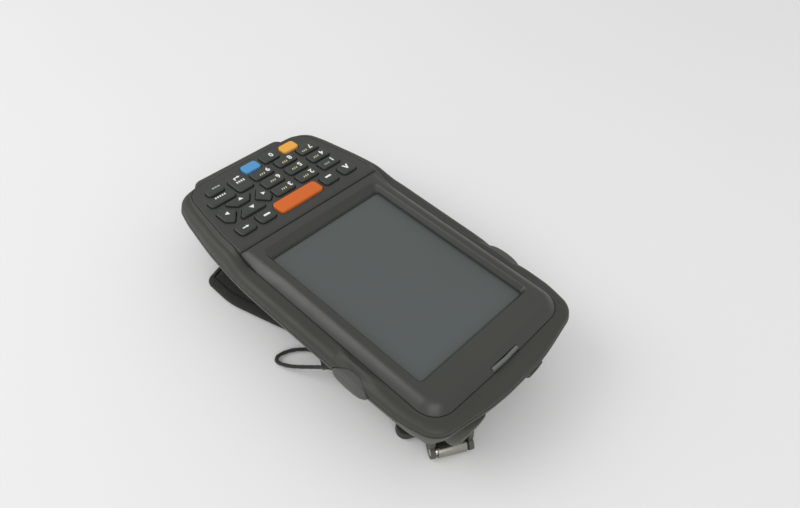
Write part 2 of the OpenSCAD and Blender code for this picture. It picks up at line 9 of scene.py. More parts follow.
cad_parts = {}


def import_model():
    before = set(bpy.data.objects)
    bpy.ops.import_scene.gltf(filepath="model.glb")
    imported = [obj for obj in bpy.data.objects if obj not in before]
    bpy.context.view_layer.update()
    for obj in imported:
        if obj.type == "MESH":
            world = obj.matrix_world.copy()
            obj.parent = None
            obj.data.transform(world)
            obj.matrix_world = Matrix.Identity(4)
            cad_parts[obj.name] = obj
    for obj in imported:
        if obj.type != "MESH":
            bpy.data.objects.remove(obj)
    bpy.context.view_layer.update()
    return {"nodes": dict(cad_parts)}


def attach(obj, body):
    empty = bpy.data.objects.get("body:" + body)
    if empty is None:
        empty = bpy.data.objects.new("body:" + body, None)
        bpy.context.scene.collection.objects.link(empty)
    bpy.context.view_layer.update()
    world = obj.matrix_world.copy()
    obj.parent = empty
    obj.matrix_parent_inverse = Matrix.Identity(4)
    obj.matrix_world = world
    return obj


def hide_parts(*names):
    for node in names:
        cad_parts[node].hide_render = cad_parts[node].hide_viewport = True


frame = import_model()
nodes = frame["nodes"]

# ---------------------------------------------------------------- frames
# Shapes are drawn in millimetres round the middle of the display glass, as the construction is.
MM = 0.001
DY, GH = 17.25, 30.0
TILT = math.radians(3.15)
COLL = bpy.context.scene.collection


def world(p):
    return (np.asarray(p, float) + [0.0, DY, GH]) * MM


def key_plane(p):
    """Keypad frame (tilted 3.15 degrees about y = -50) to glass frame."""
    p = np.asarray(p, float)
    c, s = math.cos(TILT), math.sin(TILT)
    y, z = p[..., 1] + 50.0, p[..., 2]
    return np.stack([p[..., 0], -50.0 + y * c - z * s, y * s + z * c], -1)


# ---------------------------------------------------------------- camera
cam_data = bpy.data.cameras.new("camera")
cam_data.sensor_width = 36.0
cam_data.lens = 702.578 / 800.0 * 36.0
cam_data.clip_start, cam_data.clip_end = 0.01, 50.0
cam = bpy.data.objects.new("camera", cam_data)
COLL.objects.link(cam)
right = Vector((-0.684581958, 0.725348580, 0.072228666))
down = Vector((0.495227244, 0.535513991, -0.684086795))
ahead = Vector((-0.534880846, -0.432543874, -0.725815595))
eye = Vector(world((131.37396, 107.09685, 191.19522)))
m = Matrix.Identity(4)
for i in range(3):
    m[i][0], m[i][1], m[i][2], m[i][3] = right[i], -down[i], -ahead[i], eye[i]
cam.matrix_world = m
bpy.context.scene.camera = cam


# ---------------------------------------------------------------- material helpers
def new_mat(name):
    mat = bpy.data.materials.new(name)
    mat.use_nodes = True
    nt = mat.node_tree
    return mat, nt, nt.nodes["Principled BSDF"]


def link(nt, a, b):
    nt.links.new(a, b)


def coords(nt, scale=1.0, rot=(0, 0, 0), sc3=None):
    tc = nt.nodes.new("ShaderNodeTexCoord")
    mp = nt.nodes.new("ShaderNodeMapping")
    mp.inputs["Scale"].default_value = sc3 if sc3 else (scale, scale, scale)
    mp.inputs["Rotation"].default_value = rot
    link(nt, tc.outputs["Object"], mp.inputs["Vector"])
    return mp.outputs["Vector"]


def noise_tex(nt, vec, scale, detail=3.0, rough=0.5, distortion=0.0):
    n = nt.nodes.new("ShaderNodeTexNoise")
    n.inputs["Scale"].default_value = scale
    n.inputs["Detail"].default_value = detail
    n.inputs["Roughness"].default_value = rough
    n.inputs["Distortion"].default_value = distortion
    link(nt, vec, n.inputs["Vector"])
    return n.outputs["Fac"]


def map_range(nt, value, a, b, lo, hi):
    r = nt.nodes.new("ShaderNodeMapRange")
    r.inputs["From Min"].default_value = a
    r.inputs["From Max"].default_value = b
    r.inputs["To Min"].default_value = lo
    r.inputs["To Max"].default_value = hi
    link(nt, value, r.inputs["Value"])
    return r.outputs["Result"]


def ramp(nt, value, stops):
    r = nt.nodes.new("ShaderNodeValToRGB")
    el = r.color_ramp.elements
    while len(el) < len(stops):
        el.new(0.5)
    for e, (pos, col) in zip(el, stops):
        e.position = pos
        e.color = (*col, 1.0)
    link(nt, value, r.inputs["Fac"])
    return r.outputs["Color"]


def math_node(nt, op, a, b=None, c=None):
    n = nt.nodes.new("ShaderNodeMath")
    n.operation = op
    for i, v in enumerate((a, b, c)):
        if v is None:
            continue
        if isinstance(v, (int, float)):
            n.inputs[i].default_value = v
        else:
            link(nt, v, n.inputs[i])
    return n.outputs["Value"]


def bump(nt, bsdf, height, strength, distance):
    b = nt.nodes.new("ShaderNodeBump")
    b.inputs["Strength"].default_value = strength
    b.inputs["Distance"].default_value = distance
    link(nt, height, b.inputs["Height"])
    link(nt, b.outputs["Normal"], bsdf.inputs["Normal"])
    return b


def shade(c, k):
    return tuple(min(1.0, x * k) for x in c)


def plastic(name, color, rough, grain=0.35, spread=0.12, spec=0.5, coat=0.0, coat_rough=0.2, edge_highlight=0.0, scale=3800.0):
    """Moulded plastic: fine spark texture, slow tone drift, roughness that varies with handling; convex edges lightened
    in noisy patches as a painted highlight.
    """
    mat, nt, b = new_mat(name)
    v = coords(nt)
    slow = noise_tex(nt, v, 22.0, 2.0)
    col = ramp(nt, slow, [(0.3, shade(color, 1 - spread)), (0.7, shade(color, 1 + spread))])
    # painted highlight: base colour lightened up to twice on convex edges (pointiness), in noisy patches
    if edge_highlight > 0:
        geo = nt.nodes.new("ShaderNodeNewGeometry")
        edge = map_range(nt, geo.outputs["Pointiness"], 0.52, 0.60, 0.0, 1.0)
        blot = map_range(nt, noise_tex(nt, v, 160.0, 4.0), 0.45, 0.62, 0.0, 1.0)
        highlight_amount = math_node(nt, "MULTIPLY", math_node(nt, "MULTIPLY", edge, blot), edge_highlight)
        mix = nt.nodes.new("ShaderNodeMix")
        mix.data_type = "RGBA"
        link(nt, highlight_amount, mix.inputs["Factor"])
        link(nt, col, mix.inputs["A"])
        mix.inputs["B"].default_value = (*shade(color, 2.0), 1)
        col = mix.outputs["Result"]
    link(nt, col, b.inputs["Base Color"])
    smear = noise_tex(nt, v, 70.0, 4.0, 0.6, 0.4)
    link(nt, map_range(nt, smear, 0.3, 0.7, rough - 0.05, rough + 0.06), b.inputs["Roughness"])
    b.inputs["Specular IOR Level"].default_value = spec
    if coat:
        b.inputs["Coat Weight"].default_value = coat
        b.inputs["Coat Roughness"].default_value = coat_rough
    fine = noise_tex(nt, v, scale, 2.0, 0.6)
    mid = noise_tex(nt, v, scale * 0.35, 2.0)
    h = math_node(nt, "ADD", math_node(nt, "MULTIPLY", fine, 0.7), math_node(nt, "MULTIPLY", mid, 0.5))
    bump(nt, b, h, grain, 0.00006)
    return mat


def metal(name, color, rough, stretch=(3000, 180, 3000), strength=0.25):
    mat, nt, b = new_mat(name)
    v = coords(nt, sc3=stretch)
    n = noise_tex(nt, v, 1.0, 3.0)
    slow = noise_tex(nt, coords(nt), 260.0, 3.0)
    link(nt, ramp(nt, slow, [(0.3, shade(color, 0.86)), (0.72, shade(color, 1.06))]), b.inputs["Base Color"])
    link(nt, map_range(nt, n, 0.25, 0.75, rough - 0.07, rough + 0.1), b.inputs["Roughness"])
    b.inputs["Metallic"].default_value = 1.0
    bump(nt, b, n, strength, 0.00003)
    return mat


def glass_panel(name, color, rough):
    """Matte touch film over a switched-off panel: flat tone with a faint cloud and fine anti-glare grain."""
    mat, nt, b = new_mat(name)
    v = coords(nt)
    slow = noise_tex(nt, v, 14.0, 2.0)
    link(nt, ramp(nt, slow, [(0.25, shade(color, 0.94)), (0.75, shade(color, 1.06))]), b.inputs["Base Color"])
    smear = noise_tex(nt, v, 38.0, 5.0, 0.6, 0.8)
    link(nt, map_range(nt, smear, 0.3, 0.7, rough - 0.03, rough + 0.05), b.inputs["Roughness"])
    b.inputs["Specular IOR Level"].default_value = 0.45
    b.inputs["Coat Weight"].default_value = 0.25
    b.inputs["Coat Roughness"].default_value = 0.3
    bump(nt, b, noise_tex(nt, v, 5200.0, 1.0), 0.12, 0.00002)
    return mat


def woven(name, color, rough=0.85, pitch=0.55, depth=0.00014, angle=0.0, sheen=0.25):
    """Flat woven webbing: two crossing wave sets at the yarn pitch, in millimetres."""
    mat, nt, b = new_mat(name)
    k = math.pi * 2 / (pitch * MM)
    v = coords(nt, rot=(0, 0, angle))
    sep = nt.nodes.new("ShaderNodeSeparateXYZ")
    link(nt, v, sep.inputs["Vector"])
    wob = math_node(nt, "MULTIPLY", noise_tex(nt, coords(nt), 900.0, 2.0), 1.4)
    sx = math_node(nt, "SINE", math_node(nt, "ADD", math_node(nt, "MULTIPLY", sep.outputs["X"], k), wob))
    sy = math_node(nt, "SINE", math_node(nt, "ADD", math_node(nt, "MULTIPLY", sep.outputs["Y"], k * 0.6), wob))
    w = math_node(nt, "MULTIPLY", sx, sy)
    h = math_node(nt, "ADD", w, math_node(nt, "MULTIPLY", noise_tex(nt, coords(nt), 6000.0, 2.0), 0.8))
    link(nt, ramp(nt, map_range(nt, h, -1.0, 1.8, 0.0, 1.0), [(0.1, shade(color, 0.55)), (0.8, shade(color, 1.35))]), b.inputs["Base Color"])
    b.inputs["Roughness"].default_value = rough
    b.inputs["Sheen Weight"].default_value = sheen
    b.inputs["Sheen Roughness"].default_value = 0.5
    bump(nt, b, h, 0.8, depth)
    return mat


def brushed_cloth(name, color, sheen=0.35):
    """Loop-pile nylon: fuzzy tufts a third of a millimetre across over slow crushed patches."""
    mat, nt, b = new_mat(name)
    v = coords(nt)
    tuft = nt.nodes.new("ShaderNodeTexVoronoi")
    tuft.inputs["Scale"].default_value = 1900.0
    link(nt, v, tuft.inputs["Vector"])
    fuzz = noise_tex(nt, v, 4200.0, 3.0, 0.7)
    crush = noise_tex(nt, v, 130.0, 4.0, 0.6)
    h = math_node(nt, "ADD", math_node(nt, "MULTIPLY", tuft.outputs["Distance"], -0.9), math_node(nt, "ADD", fuzz, math_node(nt, "MULTIPLY", crush, 0.6)))
    link(nt, ramp(nt, map_range(nt, h, -0.2, 1.2, 0.0, 1.0), [(0.15, shade(color, 0.5)), (0.55, color), (0.95, shade(color, 1.7))]), b.inputs["Base Color"])
    b.inputs["Roughness"].default_value = 0.95
    b.inputs["Sheen Weight"].default_value = sheen
    b.inputs["Sheen Roughness"].default_value = 0.6
    bump(nt, b, h, 0.9, 0.0003)
    return mat


def braid(name, color):
    mat, nt, b = new_mat(name)
    v = coords(nt)
    n = nt.nodes.new("ShaderNodeTexVoronoi")
    n.inputs["Scale"].default_value = 2600.0
    link(nt, v, n.inputs["Vector"])
    h = math_node(nt, "ADD", math_node(nt, "MULTIPLY", n.outputs["Distance"], -1.0), noise_tex(nt, v, 5000.0, 2.0))
    link(nt, ramp(nt, map_range(nt, h, -0.4, 0.8, 0.0, 1.0), [(0.1, shade(color, 0.6)), (0.9, shade(color, 1.5))]), b.inputs["Base Color"])
    b.inputs["Roughness"].default_value = 0.8
    b.inputs["Sheen Weight"].default_value = 0.2
    bump(nt, b, h, 0.7, 0.00012)
    return mat


def board_mat(name):
    mat, nt, b = new_mat(name)
    v = coords(nt)
    br = nt.nodes.new("ShaderNodeTexBrick")
    br.inputs["Scale"].default_value = 420.0
    br.inputs["Color1"].default_value = (0.012, 0.10, 0.045, 1)
    br.inputs["Color2"].default_value = (0.014, 0.12, 0.05, 1)
    br.inputs["Mortar"].default_value = (0.03, 0.19, 0.09, 1)
    br.inputs["Mortar Size"].default_value = 0.05
    link(nt, v, br.inputs["Vector"])
    link(nt, br.outputs["Color"], b.inputs["Base Color"])
    b.inputs["Roughness"].default_value = 0.35
    bump(nt, b, br.outputs["Fac"], 0.3, 0.00003)
    return mat


def ink(name, color):
    mat, nt, b = new_mat(name)
    n = noise_tex(nt, coords(nt), 1500.0, 3.0)
    link(nt, ramp(nt, n, [(0.3, shade(color, 0.93)), (0.7, shade(color, 1.0))]), b.inputs["Base Color"])
    b.inputs["Roughness"].default_value = 0.55
    bump(nt, b, n, 0.2, 0.00002)
    return mat


M = {
    # The edge amount given on the case, rear, plate and key plastics lightens their convex edges as a painted
    # highlight.
    "case": plastic("case_matte", (0.0285, 0.0295, 0.0225), 0.52, grain=0.5, edge_highlight=0.5),
    "rear": plastic("case_rear", (0.074, 0.0745, 0.062), 0.55, grain=0.6, edge_highlight=0.35),
    "bezel": plastic("bezel_satin", (0.0305, 0.032, 0.0255), 0.33, grain=0.16, spec=0.55),
    "plate": plastic("keypad_plate", (0.0315, 0.032, 0.0265), 0.5, grain=0.4, edge_highlight=0.3),
    "key": plastic("key_black", (0.026, 0.030, 0.025), 0.42, grain=0.25, spec=0.5, edge_highlight=0.6),
    "orange": plastic("key_orange_mat", (0.61, 0.125, 0.014), 0.5, grain=0.25, spread=0.05, spec=0.3),
    "amber": plastic("key_amber_mat", (0.80, 0.38, 0.06), 0.5, grain=0.25, spread=0.05, spec=0.3),
    "blue": plastic("key_blue_mat", (0.078, 0.29, 0.56), 0.5, grain=0.25, spread=0.05, spec=0.3),
    "side": plastic("side_key", (0.068, 0.069, 0.063), 0.5, grain=0.45),
    "rubber": plastic("rubber_black", (0.030, 0.030, 0.030), 0.62, grain=0.7),
    "boot": plastic("boot_rubber", (0.044, 0.044, 0.042), 0.58, grain=0.6),
    "comp": plastic("component_black", (0.05, 0.05, 0.055), 0.5, grain=0.4),
    "battery": plastic("battery_case", (0.08, 0.085, 0.10), 0.45, grain=0.3),
    "pipe": plastic("light_pipe_mat", (0.115, 0.125, 0.115), 0.35, grain=0.15, spread=0.05),
    "window": plastic("filter_window", (0.055, 0.008, 0.010), 0.12, grain=0.03, spread=0.05, coat=0.6, coat_rough=0.05),
    "ir": plastic("infrared_window_mat", (0.020, 0.010, 0.012), 0.16, grain=0.04, spread=0.05, coat=0.4, coat_rough=0.1),
    "glass": glass_panel("display_film", (0.066, 0.080, 0.077), 0.42),
    "steel": metal("nickel_steel", (0.62, 0.61, 0.57), 0.24),
    "hook": metal("hook_steel", (0.34, 0.335, 0.29), 0.3),
    "can": metal("shield_can", (0.60, 0.60, 0.58), 0.38),
    "gold": metal("gold_contact", (0.83, 0.62, 0.27), 0.25),
    "board": board_mat("solder_mask"),
    "pad": brushed_cloth("strap_pile", (0.0105, 0.0105, 0.0075), 0.07),
    "bind": woven("strap_binding", (0.022, 0.022, 0.019), pitch=0.5),
    "web": woven("strap_webbing_mat", (0.022, 0.022, 0.020), pitch=0.7),
    "cord": braid("cord_braid", (0.018, 0.018, 0.017)),
    "white": ink("legend_white", (0.86, 0.86, 0.83)),
    "yellow": ink("legend_yellow", (0.62, 0.57, 0.33)),
    "grey": ink("legend_grey", (0.42, 0.42, 0.40)),
}


# ---------------------------------------------------------------- outlines
def mir(h):
    return list(h) + [(-x, y, r, n) for (x, y, r, n) in reversed(h)]


def inset(V, d):
    out, n = [], len(V)
    P = [np.array(v[:2], float) for v in V]
    for i in range(n):
        a, b = P[i] - P[i - 1], P[(i + 1) % n] - P[i]
        a, b = a / np.linalg.norm(a), b / np.linalg.norm(b)
        k = (np.array([-a[1], a[0]]) + np.array([-b[1], b[0]])) / (1 + a @ b)
        c = P[i] + k * d
        out.append((c[0], c[1], max(0.25, V[i][2] - d), V[i][3]))
    return out


def outline(V, d=0.0, m=5):
    """Filleted polygon as points; every inset d gives the same number of points."""
    V = inset(V, d) if d else V
    n = len(V)
    P = [np.array(v[:2], float) for v in V]
    arcs = []
    for i in range(n):
        a, b = P[i - 1] - P[i], P[(i + 1) % n] - P[i]
        la, lb = np.linalg.norm(a), np.linalg.norm(b)
        a, b = a / la, b / lb
        g = math.acos(max(-1.0, min(1.0, float(a @ b))))
        t = min(V[i][2] / math.tan(g / 2), 0.49 * min(la, lb))
        r = t * math.tan(g / 2)
        o = P[i] + (a + b) / np.linalg.norm(a + b) * (r / math.sin(g / 2))
        s, e = P[i] + a * t - o, P[i] + b * t - o
        a0 = math.atan2(s[1], s[0])
        da = (math.atan2(e[1], e[0]) - a0 + 3 * math.pi) % (2 * math.pi) - math.pi
        arcs.append([o + r * np.array([math.cos(a0 + da * j / V[i][3]), math.sin(a0 + da * j / V[i][3])]) for j in range(V[i][3] + 1)])
    pts = []
    for i in range(n):
        pts += arcs[i]
        p, q = arcs[i][-1], arcs[(i + 1) % n][0]
        pts += [p + (q - p) * j / m for j in range(1, m)]
    return np.array(pts)


def up(P, z):
    """2-D points and a height (number, array or function of y) to 3-D points."""
    zz = z(P[:, 1]) if callable(z) else np.full(len(P), z) if np.isscalar(z) else z
    return np.column_stack([P, zz])


END, TOP, HALF, BACK = 89.6, 58.5, 41.5, 24.2
RIM = mir([(14, -END, 90, 6), (33.6, 2.6 - END, 9, 22), (36.6, -76.5, 40, 6), (39.9, -58, 120, 6), (HALF + 0.2, -38, 160, 8), (HALF, 12, 300, 8), (HALF - 0.7, 41, 40, 6), (HALF - 4, TOP - 4.6, 9, 22), (12, TOP, 90, 6)])
BEZEL = mir([(35.0, -44.45, 1.2, 5), (35.05, 50.3, 8.6, 20), (10, 50.9, 60, 6)])
KEYPAD = mir([(12, -86.4, 60, 6), (29.3, -86, 8, 16), (32.1, -70, 30, 5), (34.2, -56, 30, 5), (35, -44.55, 0.8, 4)])
GROOVE = mir([(12, -86.4, 60, 8), (29.3, -86, 8, 24), (32.1, -70, 30, 8), (34.2, -56, 30, 8), (35.0, -43.8, 60, 6), (35.05, 50.3, 8.6, 24), (10, 50.9, 60, 8)])


def ease(t):
    u = np.clip(t, 0, 1)
    return u * u * (3 - 2 * u)


def rim_z(y):
    return -5 + 2 * ((y + 18) / 76) ** 2


def in_z(y):
    s = ease((-40 - y) / 10)
    return -0.3 * (1 - s) + s * (3.15 + (y + 50) * 0.055)


def sh_z(y):
    s = ease((-38 - y) / 12)
    return -0.5 * (1 - s) + s * (1.9 + (y + 50) * 0.045)


# ---------------------------------------------------------------- mesh helpers
def finish_mesh(name, verts, faces, mat, angle=32.0, recalc=True):
    me = bpy.data.meshes.new(name)
    me.from_pydata([tuple(v) for v in world(verts)], [], [tuple(int(i) for i in f) for f in faces])
    me.update()
    if recalc:
        bm = bmesh.new()
        bm.from_mesh(me)
        bmesh.ops.recalc_face_normals(bm, faces=bm.faces)
        bm.to_mesh(me)
        bm.free()
    me.shade_smooth()
    me.set_sharp_from_angle(angle=math.radians(angle))
    o = bpy.data.objects.new(name, me)
    COLL.objects.link(o)
    if mat is not None:
        me.materials.append(mat)
    return o


def loft_data(rings, caps=(True, True), closed=False, wrap=True):
    n, k = len(rings[0]), len(rings)
    v = np.concatenate(rings)
    f = []
    for j in range(k if closed else k - 1):
        a, b = j * n, ((j + 1) % k) * n
        for i in range(n if wrap else n - 1):
            q = (i + 1) % n
            f.append((a + i, a + q, b + q, b + i))
    if not closed and caps[0]:
        f.append(tuple(range(n - 1, -1, -1)))
    if not closed and caps[1]:
        f.append(tuple((k - 1) * n + i for i in range(n)))
    return v, f


def loft(name, rings, mat, caps=(True, True), closed=False, angle=32.0):
    v, f = loft_data(rings, caps, closed)
    return finish_mesh(name, v, f, mat, angle)


def merged(parts):
    """Several (verts, faces) as one."""
    vs, fs, n = [], [], 0
    for v, f in parts:
        vs.append(np.asarray(v, float))
        fs += [tuple(i + n for i in q) for q in f]
        n += len(v)
    return np.concatenate(vs), fs


def prism(P, z0, z1, frame3=None, bevel=0.0, steps=3):
    """Extruded outline with rounded end edges. frame3 turns local (x, y, z) points into glass-frame points."""
    P = np.asarray(P, float)
    if bevel > 0:
        nrm = normals2(P)
        rings = []
        for j in range(steps + 1):
            a = math.pi / 2 * j / steps
            rings.append(up(P - nrm * bevel * (1 - math.sin(a)), z0 + bevel * (1 - math.cos(a))))
        for j in range(steps, -1, -1):
            a = math.pi / 2 * j / steps
            rings.append(up(P - nrm * bevel * (1 - math.sin(a)), z1 - bevel * (1 - math.cos(a))))
    else:
        rings = [up(P, z0), up(P, z1)]
    v, f = loft_data(rings)
    return (frame3(v) if frame3 else v), f


def normals2(P):
    t = np.roll(P, -1, 0) - np.roll(P, 1, 0)
    t /= np.maximum(np.linalg.norm(t, axis=1, keepdims=True), 1e-9)
    return np.column_stack([t[:, 1], -t[:, 0]])


def rect(w, l, r, x=0.0, y=0.0, k=6):
    return outline([(x + w / 2, y - l / 2, r, k), (x + w / 2, y + l / 2, r, k), (x - w / 2, y + l / 2, r, k), (x - w / 2, y - l / 2, r, k)], 0, 2)


def box_data(x0, y0, z0, dx, dy, dz):
    v = np.array([[x0 + dx * i, y0 + dy * j, z0 + dz * k] for k in (0, 1) for j in (0, 1) for i in (0, 1)])
    f = [(0, 2, 3, 1), (4, 5, 7, 6), (0, 1, 5, 4), (2, 6, 7, 3), (0, 4, 6, 2), (1, 3, 7, 5)]
    return v, f


def cyl_data(c, axis, r, h, n=40, r2=None):
    """Cylinder from c along axis."""
    a = np.asarray(axis, float)
    a /= np.linalg.norm(a)
    u = np.cross(a, [0, 0, 1.0] if abs(a[2]) < 0.9 else [1.0, 0, 0])
    u /= np.linalg.norm(u)
    w = np.cross(a, u)
    t = 2 * math.pi * np.arange(n) / n
    ring = np.outer(np.cos(t), u) + np.outer(np.sin(t), w)
    c = np.asarray(c, float)
    return loft_data([c + ring * r, c + a * h + ring * (r if r2 is None else r2)])


def turned(c, axis, profile, n=48):
    """Lathe: profile is (distance along the axis, radius) pairs; the ends are closed with small fans."""
    a = np.asarray(axis, float)
    a /= np.linalg.norm(a)
    u = np.cross(a, [0, 0, 1.0] if abs(a[2]) < 0.9 else [1.0, 0, 0])
    u /= np.linalg.norm(u)
    w = np.cross(a, u)
    t = 2 * math.pi * np.arange(n) / n
    ring = np.outer(np.cos(t), u) + np.outer(np.sin(t), w)
    c = np.asarray(c, float)
    return loft_data([c + a * s + ring * r for s, r in profile])


def tool(data):
    v, f = data
    o = finish_mesh("tool", v, f, None)
    return o


def boolean(obj, data_list, op="DIFFERENCE"):
    """Applies one exact boolean for each closed shape in turn."""
    tools = [tool(d) for d in data_list]
    for t in tools:
        md = obj.modifiers.new("b", "BOOLEAN")
        md.operation = op
        md.solver = "EXACT"
        md.object = t
    dg = bpy.context.evaluated_depsgraph_get()
    me = bpy.data.meshes.new_from_object(obj.evaluated_get(dg), preserve_all_data_layers=True, depsgraph=dg)
    obj.modifiers.clear()
    old = obj.data
    mats = list(old.materials)
    obj.data = me
    me.name = obj.name
    me.materials.clear()
    for mt in mats:
        me.materials.append(mt)
    for p in me.polygons:
        p.material_index = 0
    for t in tools:
        d = t.data
        bpy.data.objects.remove(t)
        bpy.data.meshes.remove(d)
    bpy.data.meshes.remove(old)
    return obj


def resmooth(obj, angle=32.0, weighted=True):
    obj.data.shade_smooth()
    obj.data.set_sharp_from_angle(angle=math.radians(angle))
    if weighted:
        md = obj.modifiers.new("normals", "WEIGHTED_NORMAL")
        md.keep_sharp = True
        md.weight = 80
    return obj


def piece(obj, body, slot=None, *stands_for):
    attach(obj, body)
    if stands_for:
        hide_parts(*stands_for)
    return obj


# ---------------------------------------------------------------- cord, before the other pieces
def catmull(pts, per):
    P = np.array(pts, float)
    out = []
    n = len(P)
    for i in range(n - 1):
        a, b, c, d = P[max(0, i - 1)], P[i], P[i + 1], P[min(n - 1, i + 2)]
        for j in range(per):
            t = j / per
            out.append(0.5 * (2 * b + (c - a) * t + (2 * a - 5 * b + 4 * c - d) * t * t + (3 * b - a - 3 * c + d) * t ** 3))
    out.append(P[-1])
    return np.array(out)


LOOP = [(32.7, 3.2, -20.5), (34.2, 2.2, -20.8), (34.9, 0, -22), (36, -3, -24), (37.7, -6.1, -25.5), (39.6, -9, -26.5), (41.3, -11.9, -27.4),
        (42.6, -15, -28.1), (42.9, -17.4, -28.6), (41.7, -18.9, -28.9), (39.6, -19.2, -29.1), (36, -18.1, -29.2), (32.7, -15.8, -29.2),
        (30.4, -13, -29), (30, -9.4, -28.4), (31, -6, -27.4), (32.8, -3.4, -26), (34.4, -1.4, -24.4), (34.9, -0.2, -22.6), (34.2, 0.4, -21.2), (32.7, 0.6, -20.5)]


def tube(path, r, k=14, twist=0.0, lobes=0, lobe=0.0):
    path = np.asarray(path, float)
    n = len(path)
    tang = np.gradient(path, axis=0)
    tang /= np.linalg.norm(tang, axis=1, keepdims=True)
    u = np.cross(tang[0], [0, 0, 1.0])
    u /= np.linalg.norm(u)
    rings, s = [], 0.0
    for i in range(n):
        if i:
            u = u - tang[i] * (u @ tang[i])
            u /= np.linalg.norm(u)
            s += np.linalg.norm(path[i] - path[i - 1])
        w = np.cross(tang[i], u)
        a = 2 * math.pi * np.arange(k) / k
        rr = r * (1 + lobe * np.cos(lobes * a + twist * s)) if lobes else np.full(k, r)
        rings.append(path[i] + np.outer(np.cos(a) * rr, u) + np.outer(np.sin(a) * rr, w))
    return loft_data(rings)


loop_line = catmull(LOOP, 10)
v, f = tube(loop_line, 0.71, 18, twist=1.9, lobes=4, lobe=0.05)
lanyard = finish_mesh("lanyard_loop_braid", v, f, M["cord"], 60)
piece(lanyard, "housing", "cord", "lanyard_loop")


# ---------------------------------------------------------------- front housing
def closest(P, Q):
    """For each point of P, the nearest point on the closed polyline Q."""
    A, B = Q, np.roll(Q, -1, 0)
    D = B - A
    L = np.maximum((D ** 2).sum(1), 1e-12)
    out = np.zeros_like(P)
    for i, p in enumerate(P):
        t = np.clip(((p - A) * D).sum(1) / L, 0, 1)
        c = A + D * t[:, None]
        out[i] = c[np.argmin(((c - p) ** 2).sum(1))]
    return out


rim = outline(RIM, 0, 8)
groove = closest(rim, outline(GROOVE, -0.1, 60))
gap = np.linalg.norm(groove - rim, axis=1)
shoulder = np.minimum(4.0, gap - 0.75)


def col(d):
    """Column points at distance d (number or array) in from the rim."""
    return rim + (groove - rim) * (np.broadcast_to(d, gap.shape) / gap)[:, None]


def brow(P, z):
    """Raised lip and hollow round the side scan keys."""
    ax = np.abs(P[:, 0])
    u = (P[:, 1] - 17.6) / 12.5
    w = np.clip(1 - u * u, 0, None) ** 1.4
    ridge = 0.75 * np.exp(-(((ax - (35.9 + 1.2 * w)) / 0.85) ** 2)) * w
    dip = -1.0 * ease((ax - 37.6) / 1.6) * np.clip(1 - ((P[:, 1] - 18.6) / 10.6) ** 2, 0, None)
    low = ease((z - rim_z(P[:, 1]) - 0.9) / 1.6)
    return z + (ridge + dip) * low


def ground(y):
    s = ease((-44.0 - y) / 1.2)
    return -1.5 * (1 - s) + s * (0.2 + 0.055 * (y + 50))


def front_rings():
    R = []
    y = rim[:, 1]
    bot = rim_z(y)
    R.append(up(col(0.75), bot + 0.06))
    R.append(up(col(0.52), bot + 0.10))
    R.append(up(col(0.42), bot + 0.22))
    R.append(up(col(0.4), bot + 0.42))
    for j in range(0, 19):
        a = math.pi / 2 * j / 18
        P = col(shoulder - (shoulder - 0.4) * math.cos(a) ** 0.85)
        z0, z1 = rim_z(P[:, 1]) + 0.62, sh_z(P[:, 1])
        R.append(up(P, brow(P, z0 + (z1 - z0) * math.sin(a) ** 0.85)))
    last = gap - 0.16
    for t in (0.18, 0.38, 0.6, 0.82, 1.0):
        d = shoulder + (last - shoulder) * t
        P = col(d)
        z = sh_z(P[:, 1]) * (1 - ease(t)) + in_z(P[:, 1]) * ease(t)
        R.append(up(P, brow(P, z)))
    for j in (1, 2, 3):
        a = math.pi / 2 * j / 3
        P = col(last + 0.16 * math.sin(a))
        R.append(up(P, brow(P, in_z(P[:, 1])) - 0.16 * (1 - math.cos(a))))
    P = col(gap)
    R.append(up(P, ground(P[:, 1]) + 0.15))
    P = col(gap + 0.15)
    R.append(up(P, ground(P[:, 1])))
    P = col(gap + 1.5)
    R.append(up(P, ground(P[:, 1])))
    P = col(gap + 1.5)
    R.append(up(P, -3.0 - 0.0 * P[:, 1] + np.minimum(0, ground(P[:, 1]) + 1.5)))
    R.append(up(col(3.0), -4.1))
    R.append(up(col(2.2), rim_z(col(2.2)[:, 1])))
    R.append(up(col(0.9), rim_z(col(0.9)[:, 1])))
    return R


front = loft("front_housing_shell", front_rings(), M["case"], closed=True, angle=40)


def lens(grow=0.0, n=72, half=8.0, high=3.3):
    """Side key outline in (y, z), pointed towards its ends."""
    t = 2 * math.pi * np.arange(n) / n
    c, s = np.cos(t), np.sin(t)
    a, b = half + grow, high + grow
    yy = a * np.sign(c) * np.abs(c) ** 0.92
    zz = b * np.sign(s) * np.abs(s) ** 1.12
    return np.column_stack([yy, zz])


def lens_solid(side, sections):
    """Loft of lens outlines along X: sections are (|x|, grow)."""
    rings = []
    for x, g in sections:
        L = lens(g)
        rings.append(np.column_stack([np.full(len(L), x), 18.8 + L[:, 0], -5 + L[:, 1]]))
    v, f = loft_data(rings)
    v = v * [side, 1, 1]
    return v, f


boolean(front, [lens_solid(s, [(33.5, 0.32), (50, 0.32)]) for s in (1, -1)])
resmooth(front, 40)
piece(front, "housing", "case_plastic", "front_housing")

# ---------------------------------------------------------------- side scan keys
for s, side_name in ((1, "right"), (-1, "left")):
    v, f = lens_solid(s, [(35.8, 0.0), (41.1, 0.0), (41.35, -0.05), (41.55, -0.18), (41.62, -0.38), (41.66, -0.62), (41.84, -0.78), (42.1, -0.95),
                          (42.32, -1.25), (42.46, -1.6), (42.56, -2.05), (42.62, -2.55), (42.65, -3.0)])
    k = finish_mesh("scan_key_%s_cap" % side_name, v, f, M["side"], 50)
    piece(k, "scan_key_" + side_name, "key_rubber", "scan_key_" + side_name)


# ---------------------------------------------------------------- rear housing
def ring_b(d, z, w=0.0, V=RIM):
    P = outline(V, d, 8)
    P = P.copy()
    P[:, 1] -= 0.5 * (d - w) * ease((-50 - P[:, 1]) / 34)
    return up(P, z)


